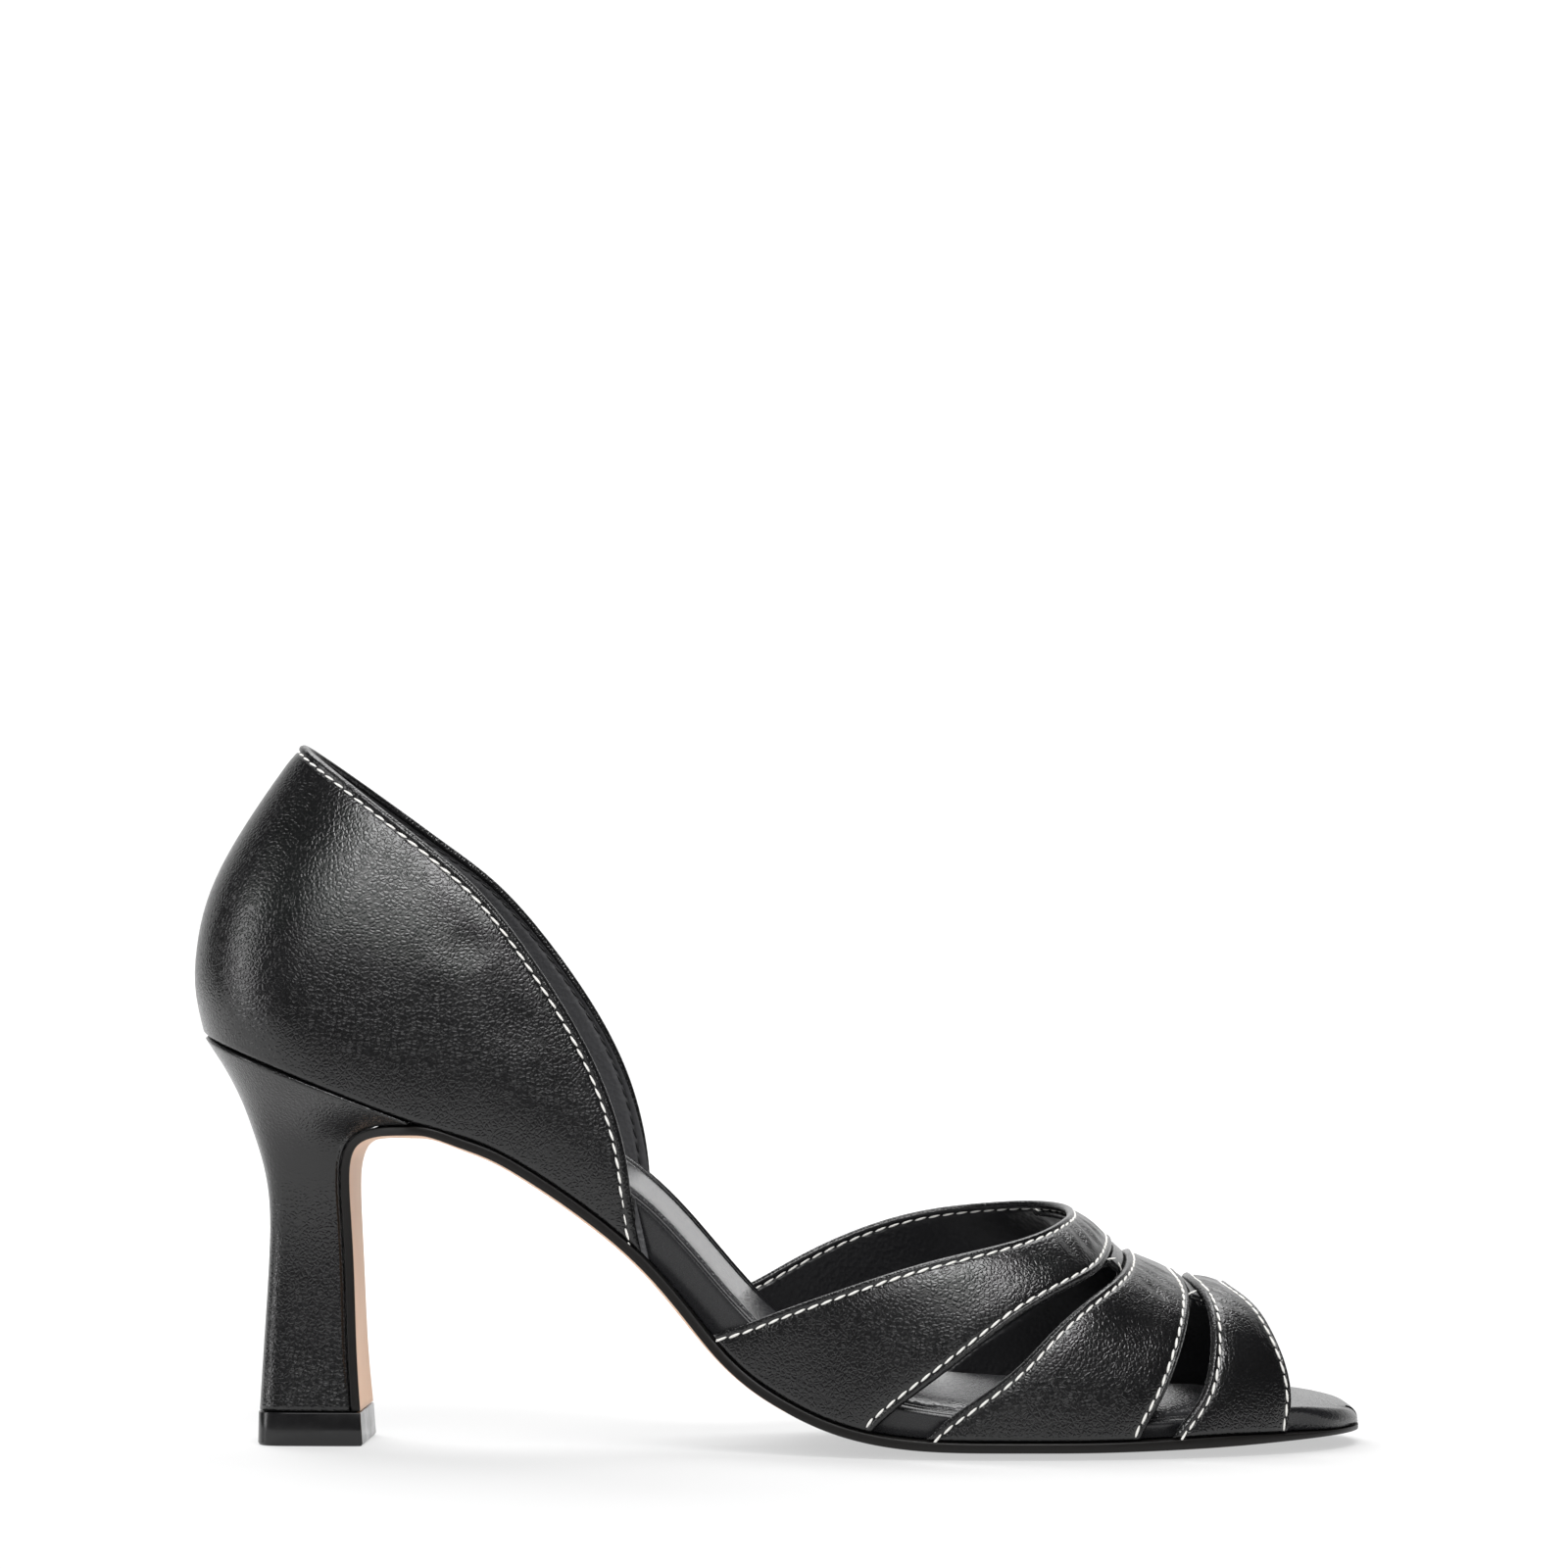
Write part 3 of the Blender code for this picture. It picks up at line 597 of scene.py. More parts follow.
def bed_edges(x):
    """Return Y of the footbed's outer and inner side at X."""
    inset = bed_clear + (bed_toe_clear - bed_clear) * ease(x, bed_ease_start, bed_ease_end)
    moved = HEEL_BACK + (x - bed_back) * (LENGTH - HEEL_BACK) / (bed_front - bed_back)
    outer = edge_y(moved, OUTER)
    inner = edge_y(moved, INNER)
    middle = (outer + inner) / 2
    shrink = np.maximum(1 - 2 * inset / np.maximum(inner - outer, bed_least_width), bed_least_share)
    return middle + (outer - middle) * shrink, middle + (inner - middle) * shrink


bed_x = bed_back + (bed_front - bed_back) * (1 - np.cos(np.linspace(0, math.pi, 260))) / 2
bed_outer, bed_inner = bed_edges(bed_x)
bed_width = bed_inner - bed_outer
bed_low = profile["seat"](bed_x) + GAP
bed_high = profile["footbed"](bed_x)
bed_cant = profile["cant"](bed_x)
groove = 1 - ease(bed_x, *frame_end)
bed_round = bed_side_round + (bed_toe_round - bed_side_round) * ease(bed_x, bed_ease_start, bed_ease_end)
bed_tip = np.clip((bed_x - bed_ease_end) / (bed_front - bed_ease_end), 0, 1) ** 2

# The side swells a little and turns over the rim in a quarter circle. A side place is its inset and
# its share of the height. A frame place is its inset past the rim's circle and how deep it sinks.
# At the waist the inner rim stands up as a low lip.
bed_sides = ((1.1, 0.0), (0.85, 0.03), (0.75, 0.1), (0.45, 0.45), (0.12, 0.85))
bed_turns = np.radians((0, 15, 30, 45, 60, 75, 90))
bed_frame = ((0.15, 0.03), (0.27, 0.25), (0.4, 0.5), (0.6, 0.5), (0.72, 0.05), (0.87, -0.25), (1.05, -0.35),
             (1.25, -0.25), (1.4, 0.2), (1.55, 0.6), (1.9, 0.75), (2.4, 0.65))
bed_lip = 1.0
lip_end = (0.1, 0.5)


def at_waist(x):
    """Return 1 along the open waist and 0 past its ends."""
    return ease(x, *waist_start) * (1 - ease(x, *waist_end))


bed_shares = (0.2, 0.35, 0.5, 0.65, 0.8)


def bed_flank(side):
    """Return X, Y and Z of one side of the footbed's section, from its foot to inside the frame."""
    edge = bed_outer if side == OUTER else bed_inner
    lip = bed_lip * at_waist(bed_x) if side == INNER else 0 * bed_x
    high = bed_high + side * bed_cant / 2 + lip
    line = []
    for inset, share in bed_sides:
        line.append((inset, inset, bed_low + share * (high - bed_round - bed_low)))
    for turn in bed_turns:
        pull = bed_round * (1 - math.cos(turn))
        line.append((pull, pull, high - bed_round * (1 - math.sin(turn))))
    for inset, sink in bed_frame:
        line.append((bed_round, bed_round + inset, high - sink * groove - lip * ease(inset, *lip_end)))
    side_share = 0.46
    room = np.minimum(1, side_share * bed_width / (bed_round + bed_frame[-1][0]))
    places = []
    for pull, inset, z in line:
        inward = inset * room
        places.append((bed_x - pull * bed_tip, edge - side * inward, z))
    return places


bed_ring = bed_flank(OUTER)
for share in bed_shares:
    top = bed_high + bed_cant * (share - 0.5) + bed_dome * (1 - abs(2 * share - 1)) - frame_floor * groove
    bed_ring.append((bed_x - bed_round * bed_tip, bed_outer + share * bed_width, top))
bed_ring += bed_flank(INNER)[::-1]
for share in bed_shares[::-1]:
    bed_ring.append((bed_x, bed_outer + share * bed_width, bed_low))
bed_ring.append(bed_ring[0])
bed_spots = np.array(bed_ring).transpose(2, 0, 1)
bed_coats = np.where(bed_spots[:-1, :-1, 0] > frame_end[0], 1, 0)
footbed = lay_piece("footbed_wrap", bed_spots, bed_coats)

# Kid leather, glazed. Smooth and near black on the sides, it takes a clear soft reflection of the floor.
# The toe pad has the skin's grain left standing, which breaks its pale top into specks.
kid_mm = 0.6
kid_side_depth_mm = 0.04
kid_pad_depth_mm = 0.22


def kid_leather(name, grain_mm, depth_mm):
    """Return glazed kid with a grain of one size and depth."""
    leather, spot = new_material(name)
    pore = add_node(leather, "TexNoise", {"Vector": spot, "Scale": 1000 / grain_mm, "Detail": 3.0})
    bump = add_node(leather, "Bump", {"Height": pore, "Strength": 0.6, "Distance": depth_mm * MM})
    glaze = add_node(leather, "MapRange", {"Value": pore, "To Min": 0.22, "To Max": 0.34})
    finish_material(leather, {"Base Color": colour("#1b1b1d"), "Roughness": glaze, "Normal": bump})
    return leather


footbed.data.materials.append(kid_leather("black_kid_leather_glazed", kid_mm, kid_side_depth_mm))
footbed.data.materials.append(kid_leather("black_kid_leather_grained", kid_mm, kid_pad_depth_mm))
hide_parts("footbed")


# Sock. A cut panel of smooth leather cemented on the footbed inside the frame. It ends in a round
# front under the third strap.
sock_inset = 2.6
sock_back = bed_back + sock_inset
sock_front = 203.0
sock_round_start = 178.0
sock_sunk = 0.5
sock_tip_round = 2.4
sock_bed_share = 0.9
sock_least = 0.01
sock_keep = 0.9
sock_keep_less = 0.1
padding_start = (104.0, 128.0)
padding_end = (192.0, sock_front)
sock_x = sock_back + (sock_front - sock_back) * (1 - np.cos(np.linspace(0, math.pi, 240))) / 2
sock_moved = bed_back + (sock_x - sock_back) * (bed_front - bed_back) / (bed_front - sock_back)
sock_outer, sock_inner = bed_edges(sock_moved)
sock_middle = (sock_outer + sock_inner) / 2
sock_bed = np.maximum((sock_inner - sock_outer) / 2, sock_least)
sock_half = np.maximum(sock_bed - sock_inset, 0)
sock_tip = rounded((sock_x - sock_round_start) / (sock_front - sock_round_start), sock_tip_round)
sock_half = sock_half * np.where(sock_x > sock_round_start, sock_tip, 1)
sock_half = np.minimum(sock_half, sock_bed_share * sock_bed)
sock_base = profile["footbed"](sock_x) - sock_sunk
sock_cant = profile["cant"](sock_x)

# A section place is its share of the half width, its inset from there, its rise over the base, how much
# further it rises in the forepart, where the padding is thicker, and at the outer edge of the waist,
# where the panel's cut edge stands over the bead.
sock_section = (
    (1.0, 0.35, 0.0, 0.0, 0.0), (1.0, 0.08, 0.1, 0.1, 0.3), (1.0, 0.0, 0.22, 0.3, 0.55),
    (1.0, 0.1, 0.34, 0.6, 0.75), (1.0, 0.4, 0.46, 0.8, 0.85), (1.0, 1.2, 0.64, 1.0, 0.8),
    (1.0, 2.6, 0.86, 1.1, 0.7), (1.0, 4.5, 1.06, 1.15, 0.55), (1.0, 7.0, 1.22, 1.2, 0.4),
    (0.5, 0.0, 1.36, 1.2, 0.2), (0.25, 0.0, 1.43, 1.2, 0.1), (0.0, 0.0, 1.45, 1.2, 0.0),
)
sock_forepart = ease(sock_x, *padding_start) * (1 - ease(sock_x, *padding_end))
sock_ring = []
for side in (OUTER, INNER):
    order = sock_section if side == OUTER else sock_section[-2::-1]
    for share, inset, rise, more, outer_more in order:
        full = share * sock_half
        reach = np.maximum(full - inset, (sock_keep - sock_keep_less * inset) * full)
        lean = side * sock_cant * reach / (2 * sock_bed)
        lift = rise + more * sock_forepart
        if side == OUTER:
            lift = lift + outer_more * at_waist(sock_x)
        sock_ring.append((sock_x, sock_middle + side * reach, sock_base + lift + lean))
sock_ring.append(sock_ring[0])
sock = lay_piece("sock_panel", np.array(sock_ring).transpose(2, 0, 1))

# Glove leather, plated and polished. Its charcoal tone is partly the dye and partly painted sheen, lighter
# than the black kid to carry its pale reflection. The satin gloss turns it paler where it faces the light.
glove_mm = 0.7
glove, glove_spot = new_material("glove_leather_plated_painted_sheen")
glove_grain = add_node(glove, "TexVoronoi", {"Vector": glove_spot, "Scale": 1000 / glove_mm})
glove_bump = add_node(glove, "Bump", {"Height": glove_grain, "Strength": 0.8, "Distance": 0.15 * MM})
glove_tone = add_node(glove, "TexNoise", {"Vector": glove_spot, "Scale": 1000 / tone_mm, "Detail": 3.0})
# The two charcoal tones are lightened to paint part of the sheen; the noise between them is the dye's own
# random tone.
glove_dye_and_painted_sheen = add_node(glove, "Mix", {
    "Factor": glove_tone, 6: colour("#2e2e30"), 7: colour("#3a3a3c"),
}, data_type="RGBA")
finish_material(glove, {"Base Color": glove_dye_and_painted_sheen.outputs[2], "Normal": glove_bump, "Roughness": 0.24})
sock.data.materials.append(glove)


# Quarter. The heel counter, one piece of calf over a stiffener, folded along its collar and down
# both fronts, lined with pigskin, and lasted under at the seat.
QUARTER_REACH = {OUTER: 85.8, INNER: 87.0}
cup_columns = ("height", "back_x", "width")
cup_table = (
    (0.0, 1.6, 1.0), (8.0, -0.2, 1.03), (14.5, -0.15, 1.03), (22.0, 0.95, 1.0),
    (31.3, 3.75, 0.94), (40.4, 7.8, 0.86), (49.9, 12.7, 0.75), (63.0, 20.0, 0.6),
)
collar_columns = ("share", "outer", "inner")
collar_table = (
    (0.0, 63.5, 63.5), (0.25, 53.1, 53.6), (0.5, 39.4, 41.3), (0.75, 25.2, 27.6), (1.0, 8.5, 9.5),
)
cup = curves(cup_columns, cup_table)
collar = curves(collar_columns, collar_table)


def quarter_collar(place):
    """Return how far round the heel a place lies and the collar's height there."""
    full = np.where(place < 0, QUARTER_REACH[OUTER], QUARTER_REACH[INNER])
    reach = full * (1 - np.cos(math.pi * np.abs(place))) / 2
    share = np.arcsin(np.clip(reach / full, 0, 1)) * 2 / math.pi
    return reach, np.where(place < 0, collar["outer"](share), collar["inner"](share))


def quarter_points(place, height_share):
    """Return points of the quarter's outer face, from the outer front round to the inner one."""
    reach, top = quarter_collar(place)
    height = height_share * top
    x = cup["back_x"](height) + reach
    plan_x = HEEL_BACK + reach
    side = np.where(place < 0, edge_y(plan_x, OUTER), edge_y(plan_x, INNER))
    y = np.where(place == 0, 0, side * cup["width"](height))
    return points(x, y, profile["seat"](x) + GAP + height)


def unit(vectors):
    """Return vectors at length one."""
    return vectors / np.maximum(np.linalg.norm(vectors, axis=-1, keepdims=True), 1e-9)


def facing(grid, upright):
    """Return the outward directions of a grid, level where the sheet stands on the sole."""
    away = unit(np.cross(np.gradient(grid, axis=0), np.gradient(grid, axis=1)))
    away[..., 2] *= 1 - upright
    return unit(away)


def nearest(spots, line):
    """Return the number of the point of a line that lies nearest to each spot."""
    chunk = 1500
    found = []
    for start in range(0, len(spots), chunk):
        gaps = spots[start:start + chunk, None, :] - line[None, :, :]
        found.append(np.argmin((gaps ** 2).sum(axis=-1), axis=1))
    return np.concatenate(found)


def reach_from(grid, rim):
    """Return how far each point of a grid lies from a rim line."""
    spots = grid.reshape(-1, 3)
    at = nearest(spots, rim)
    best = np.linalg.norm(spots - rim[at], axis=1)
    for step in (-1, 1):
        other = np.clip(at + step, 0, len(rim) - 1)
        run = rim[other] - rim[at]
        size = np.maximum((run ** 2).sum(axis=1), 1e-12)
        share = np.clip(((spots - rim[at]) * run).sum(axis=1) / size, 0, 1)
        best = np.minimum(best, np.linalg.norm(spots - rim[at] - run * share[:, None], axis=1))
    return best.reshape(grid.shape[:2])


def fold_leather(name, grid, away, reach, wall, dent, seam):
    """Fold a sheet of leather round its lining and close it along every edge.

    reach is each point's distance to the nearest edge, dent how far the outer face is pressed in and
    seam how far the thread presses in the lining. The outer leather turns over the edges and the
    lining starts a little inside them.
    """
    turned = 5
    half = wall / 2
    near = half - np.clip(reach, 0, half)
    turn = half - np.sqrt(np.maximum(half ** 2 - near ** 2, 0))
    face = grid - away * (turn + dent * np.clip(reach / half, 0, 1))[..., None]
    back = grid - away * (wall - turn - seam)[..., None]
    spots = np.concatenate([face, back[-2::-1]])
    coats = np.zeros((len(spots) - 1, grid.shape[1] - 1), int)
    coats[len(face) + turned:len(spots) - turned] = 1
    return lay_piece(name, spots, coats), face, back


stitch_groove = 0.3
stitch_groove_width = 0.36
fold_roll = 0.16
fold_roll_place = 0.5
fold_roll_width = 0.3
fold_puff = 0.2
fold_swell = 3.5


def thread_dent(reach, inset):
    """Return the groove that a seam's thread draws into the leather."""
    return stitch_groove * np.exp(-((reach - inset) / stitch_groove_width) ** 2)


def sewn_dent(reach, inset):
    """Return the dent of a stitched edge: a rolled rim, a groove under the thread, then a swell."""
    thread = thread_dent(reach, inset)
    roll = fold_roll * np.exp(-((reach - fold_roll_place * inset) / (fold_roll_width * inset)) ** 2)
    return thread - roll - fold_puff * ease(reach, inset, inset + fold_swell)


# Soft troughs in the outer wall of the quarter, each from one X and Z to another, with depth and width.
dimples = (
    (52.0, 99.0, 57.5, 92.0, 0.4, 3.2),
    (60.0, 84.0, 68.0, 76.0, 0.25, 4.0),
    (20.0, 88.0, 58.0, 72.0, 0.3, 7.0),
)


def pressed(spots, start, end, depth, width):
    """Return how far one soft trough, with a low ridge beside it, presses in a grid of points."""
    tail = 0.12
    ridge_share = 0.45
    ridge_away = 2.2
    run = end - start
    share = np.clip(((spots - start) @ run) / (run @ run), 0, 1)
    gap = np.linalg.norm(spots - start - share[..., None] * run, axis=-1)
    taper = np.sin(math.pi * np.clip(tail + (1 - tail) * share, 0, 1))
    ridge_up = ridge_share * np.exp(-((gap - ridge_away * width) / width) ** 2)
    return depth * taper * (np.exp(-(gap / width) ** 2) - ridge_up)


def fill_rows(low, high, count):
    """Return two sets of edge rows with evenly spaced rows between them."""
    between = np.linspace(0, 1, count)[1:-1, None]
    return np.concatenate([low, low[-1] + (high[0] - low[-1]) * between, high])


quarter_inset = 1.8
quarter_place = np.linspace(-1, 1, 321)
quarter_near = np.array((0.0, 0.04, 0.12, 0.25, 0.42, 0.62, 0.85, 1.1, 1.35, 1.6, 1.85, 2.15, 2.5, 3.0,
                         3.8, 5.0))
quarter_foot = np.array((0.0, 0.05, 0.15, 0.3, 0.5, 0.8, 1.3, 2.0))
quarter_slant = 1.35
quarter_top_share = 0.5
quarter_foot_share = 0.25
quarter_upright = 4
quarter_top = quarter_collar(quarter_place)[1]
foot_scale = np.minimum(1 / quarter_top, quarter_foot_share / quarter_foot[-1])
rows_foot = quarter_foot[:, None] * foot_scale[None, :]
top_scale = np.minimum(quarter_slant / quarter_top, quarter_top_share / quarter_near[-1])
rows_top = 1 - quarter_near[::-1, None] * top_scale[None, :]
quarter_rows = fill_rows(rows_foot, rows_top, 24)
quarter_grid = quarter_points(quarter_place[None, :], quarter_rows)
quarter_away = facing(quarter_grid, np.clip(1 - quarter_rows * quarter_upright, 0, 1))
quarter_rim = np.concatenate([quarter_grid[:, 0], quarter_grid[-1, 1:-1], quarter_grid[::-1, -1]])
quarter_sewn = reach_from(quarter_grid, quarter_rim)
quarter_edge = np.minimum(quarter_sewn, reach_from(quarter_grid, quarter_grid[0]))
quarter_dent = sewn_dent(quarter_sewn, quarter_inset)
for from_x, from_z, to_x, to_z, depth, width in dimples:
    start = np.array((from_x, from_z))
    trough = pressed(quarter_grid[..., ::2], start, np.array((to_x, to_z)), depth, width)
    quarter_dent += np.where(quarter_grid[..., 1] < 0, trough, 0)
quarter, quarter_face, quarter_back = fold_leather(
    "quarter_leather", quarter_grid, quarter_away, quarter_edge, WALL, quarter_dent,
    thread_dent(quarter_sewn, quarter_inset))

# Pigskin lining, drum-dyed and soft. Duller than the outer leather, with fine pores and rucks. Its tone is
# painted light and shade: pale grey in the quarter for the light that reaches inside, near black in the
# straps for their shade.
lining_mm = 0.95
ruck_mm = 4.0


def lining_leather(name, painted_tone_code, gloss):
    """Return a lining leather in one painted tone of light and shade, with its lowest and highest
    roughness.
    """
    leather, spot = new_material(name)
    pore = add_node(leather, "TexVoronoi", {"Vector": spot, "Scale": 1000 / lining_mm})
    ruck = add_node(leather, "TexNoise", {"Vector": spot, "Scale": 1000 / ruck_mm, "Detail": 3.0})
    relief = add_node(leather, "Math", {0: ruck, 1: 2.0, 2: pore}, operation="MULTIPLY_ADD")
    bump = add_node(leather, "Bump", {"Height": relief, "Strength": 0.8, "Distance": 0.1 * MM})
    sheen = add_node(leather, "MapRange", {"Value": ruck, "To Min": gloss[0], "To Max": gloss[1]})
    finish_material(leather, {"Base Color": colour(painted_tone_code), "Roughness": sheen, "Normal": bump})
    return leather


# The quarter's lining, its grey painted lighter for the light inside the quarter.
lining_painted_lit = lining_leather("pigskin_lining_painted_lit_grey", "#464648", (0.4, 0.5))
quarter.data.materials.append(calf)
quarter.data.materials.append(lining_painted_lit)
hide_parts("quarter")


# Lining wing. The edge of the lining that is lasted under a little in front of the quarter on the
# outer side, a narrow rucked triangle against the footbed.
wing_columns = ("share", "front_x", "z")
wing_table = ((0.0, 88.9, 36.4), (0.35, 88.2, 39.6), (0.7, 87.2, 44.0), (1.0, 86.2, 48.4))
wing_back = 82.0
wing_inset = 1.78
wing_thickness = 0.6
wing_ruck = 0.22
wing_slope = 1.1
wing_taper = 6
wing_waves = (1.9, 5.0, 2.2)
wing_up = np.linspace(0, 1, 40)[:, None]
wing_along = np.linspace(0, 1, 16)[None, :]
wing = curves(wing_columns, wing_table)
wing_x = wing_back + (wing["front_x"](wing_up) - wing_back) * wing_along
wing_rise = wing_slope * (wing["front_x"](wing_up) - wing_x) * (1 - wing_up)
wing_z = np.maximum(wing["z"](wing_up) + wing_rise, profile["seat"](wing_x) + GAP)
wave_along, wave_up, wave_high = wing_waves
wing_wave = np.sin(wave_along * wing_x + wave_up * wing_up) * np.sin(wave_high * wing_z)
wing_wave = wing_ruck * wing_wave * wing_along
wing_y = edge_y(wing_x, OUTER) + wing_inset + np.abs(wing_wave)
wing_face = points(wing_x, wing_y, wing_z)
wing_under = wing_face + np.array((0.0, wing_thickness, 0.0)) * (1 - wing_along ** wing_taper)[..., None]
wing_spots = np.concatenate([wing_face, wing_under[:, ::-1]], axis=1)
wing_spots = np.concatenate([wing_spots, wing_spots[:, :1]], axis=1)
lining_wing = lay_piece("lining_wing", wing_spots)
lining_wing.data.materials.append(lining_painted_lit)


# Straps. Three bands of folded calf over the toes, lined and lasted under on both sides. They
# cross a spine on the ridge and leave a slit window between each two.
ridge_columns = ("x", "z", "y")
ridge_table = (
    (95.0, 92.0, 2.0), (112.0, 82.0, 2.0), (128.0, 71.5, 2.5), (142.0, 62.0, 3.0), (153.0, 54.8, 3.0),
    (162.0, 49.5, 3.0), (168.0, 45.8, 3.0), (173.0, 42.3, 3.0), (178.4, 38.2, 3.0), (184.0, 35.0, 3.2),
    (190.0, 32.8, 3.4), (197.0, 31.2, 3.8), (204.0, 29.4, 4.0), (212.0, 27.0, 4.2), (224.0, 22.0, 4.5),
)
SECTION_WALL = 2.6
SECTION_TOP = 2.3
edge_shares = (-1.0, -0.9, -0.75, -0.6, -0.45, -0.25, 0.0, 0.25, 0.5, 0.75, 1.0)
strap_edges = {
    "throat": (100.8, 111.8, 130.2, 147.1, 159.2, 166.7, 168.7, 162.9, 146.5, 121.4, 98.0),
    "strap_1_front": (131.3, 143.4, 156.2, 166.1, 172.8, 176.4, 177.2, 175.0, 166.5, 151.0, 127.5),
    "strap_2_rear": (141.4, 153.9, 164.1, 170.9, 175.8, 179.3, 179.9, 178.4, 172.0, 160.0, 136.0),
    "strap_2_front": (181.7, 185.1, 188.2, 190.1, 191.2, 191.4, 189.6, 189.2, 187.0, 183.5, 176.0),
    "strap_3_rear": (187.7, 192.0, 194.7, 195.4, 195.3, 194.0, 191.2, 191.6, 191.2, 189.5, 181.5),
    "peep": (209.9, 210.6, 210.3, 208.9, 207.0, 203.9, 199.4, 202.0, 206.4, 210.4, 211.0),
}
ridge = curves(ridge_columns, ridge_table)
strap_line = {name: smooth(edge_shares, places) for name, places in strap_edges.items()}


def vamp_points(x, share):
    """Return points of the vamp's outer face at X and at a share of the way over the foot."""
    turn = (1 - np.abs(share)) * math.pi / 2
    edge = np.where(share < 0, edge_y(x, OUTER), edge_y(x, INNER))
    foot = profile["seat"](x) + GAP
    out = np.clip(np.cos(turn), 0, 1) ** (2 / SECTION_WALL)
    up = np.clip(np.sin(turn), 0, 1) ** (2 / SECTION_TOP)
    y = ridge["y"](x) + (edge - ridge["y"](x)) * out
    return points(x, y, foot + (ridge["z"](x) - foot) * up)


def strap_width(rear, front, shares, at_front):
    """Return how many millimetres, square to one edge, a whole strap width measures there."""
    small = 0.01
    least = 0.25
    line = front if at_front else rear
    ahead = shares + small
    behind = shares - small
    along = vamp_points(line(ahead), ahead) - vamp_points(line(behind), behind)
    over = vamp_points(line(shares) + small, shares) - vamp_points(line(shares) - small, shares)
    square = np.linalg.norm(np.cross(over, unit(along)), axis=-1) / (2 * small)
    return np.maximum(square, least) * (front(shares) - rear(shares))


# Creases of the upper, each a soft trough from one X and share of the vamp to another, with its depth
# and width.
creases = (
    (170.2, 0.10, 175.4, 0.05, 0.22, 0.70), (170.6, 0.01, 175.6, -0.05, 0.28, 0.70),
    (170.4, -0.08, 175.2, -0.16, 0.30, 0.75), (169.8, -0.16, 174.4, -0.26, 0.30, 0.80),
    (168.6, -0.24, 172.8, -0.35, 0.26, 0.85), (166.2, -0.32, 169.8, -0.43, 0.22, 0.95),
    (162.0, -0.38, 158.0, -0.47, 0.14, 1.10),
    (182.4, -0.10, 188.8, -0.17, 0.22, 0.80), (182.4, -0.20, 188.9, -0.30, 0.24, 0.85),
    (182.2, -0.31, 187.4, -0.41, 0.20, 0.95), (183.6, 0.05, 188.2, 0.01, 0.20, 0.80),
    (193.0, -0.08, 198.0, -0.18, 0.24, 0.70), (194.4, -0.17, 200.0, -0.28, 0.24, 0.80),
    (196.0, -0.28, 202.4, -0.38, 0.20, 0.90), (193.2, 0.02, 197.4, -0.03, 0.20, 0.70),
)


def creased(grid):
    """Return how far the creases press a part of the vamp in."""
    dent = np.zeros(grid.shape[:2])
    for from_x, from_share, to_x, to_share, depth, width in creases:
        start = vamp_points(np.array(from_x), np.array(from_share))
        end = vamp_points(np.array(to_x), np.array(to_share))
        dent += pressed(grid, start, end, depth, width)
    return dent


# Kid lining of the straps, glazed and glossier than the lining of the quarter. Its near-black tone is
# painted shade, the quarter's lining darkened for the shade inside the straps.
lining_painted_shade = lining_leather("kid_lining_glazed_painted_shade", "#18181a", (0.26, 0.36))
strap_table = (
    ("strap_1", "throat", "strap_1_front", 1.45, 1.45),
    ("strap_2", "strap_2_rear", "strap_2_front", 1.5, 1.3),
    ("strap_3", "strap_3_rear", "peep", 1.6, 1.25),
)
strap_near = np.array((0.0, 0.04, 0.12, 0.25, 0.42, 0.62, 0.85, 1.1, 1.35, 1.6, 1.9, 2.3, 2.9))
strap_least = 2.3 * strap_near[-1]
strap_upright = 0.85
strap_crowding = 1.3
strap_ends = np.array((0.0, 0.0006, 0.0016, 0.003, 0.005, 0.008, 0.012, 0.018, 0.026))
even = np.linspace(0, 1, 120)
half_shares = (1 - strap_ends[-1]) * even ** strap_crowding
half_shares = np.concatenate([half_shares, 1 - strap_ends[-2::-1]])
strap_shares = np.concatenate([-half_shares[::-1], half_shares[1:]])
straps = {}
for strap_name, rear_name, front_name, rear_inset, front_inset in strap_table:
    rear = strap_line[rear_name]
    front = strap_line[front_name]
    wide_rear = strap_width(rear, front, strap_shares, False)
    wide_front = strap_width(rear, front, strap_shares, True)
    rows_rear = strap_near[:, None] / np.maximum(wide_rear, strap_least)[None, :]
    rows_front = 1 - strap_near[::-1, None] / np.maximum(wide_front, strap_least)[None, :]
    rows = fill_rows(rows_rear, rows_front, 20)
    x = rear(strap_shares) * (1 - rows) + front(strap_shares) * rows
    grid = vamp_points(x, np.broadcast_to(strap_shares, x.shape))
    upright = np.clip((np.abs(strap_shares) - strap_upright) / (1 - strap_upright), 0, 1) + 0 * x
    away = facing(grid, upright)
    from_rear = reach_from(grid, grid[0])
    from_front = reach_from(grid, grid[-1])
    feet = np.minimum(reach_from(grid, grid[:, 0]), reach_from(grid, grid[:, -1]))
    edge = np.minimum(np.minimum(from_rear, from_front), feet)
    groove_rear = sewn_dent(from_rear, rear_inset) + fold_puff
    groove_front = sewn_dent(from_front, front_inset) + fold_puff
    dent = groove_rear + groove_front - fold_puff + creased(grid)
    seam = thread_dent(from_rear, rear_inset) + thread_dent(from_front, front_inset)
    strap, face, back = fold_leather(strap_name, grid, away, edge, WALL, dent, seam)
    strap.data.materials.append(calf)
    strap.data.materials.append(lining_painted_shade)
    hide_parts("vamp")
    straps[strap_name] = (grid, away, face, back, rear_inset, front_inset)


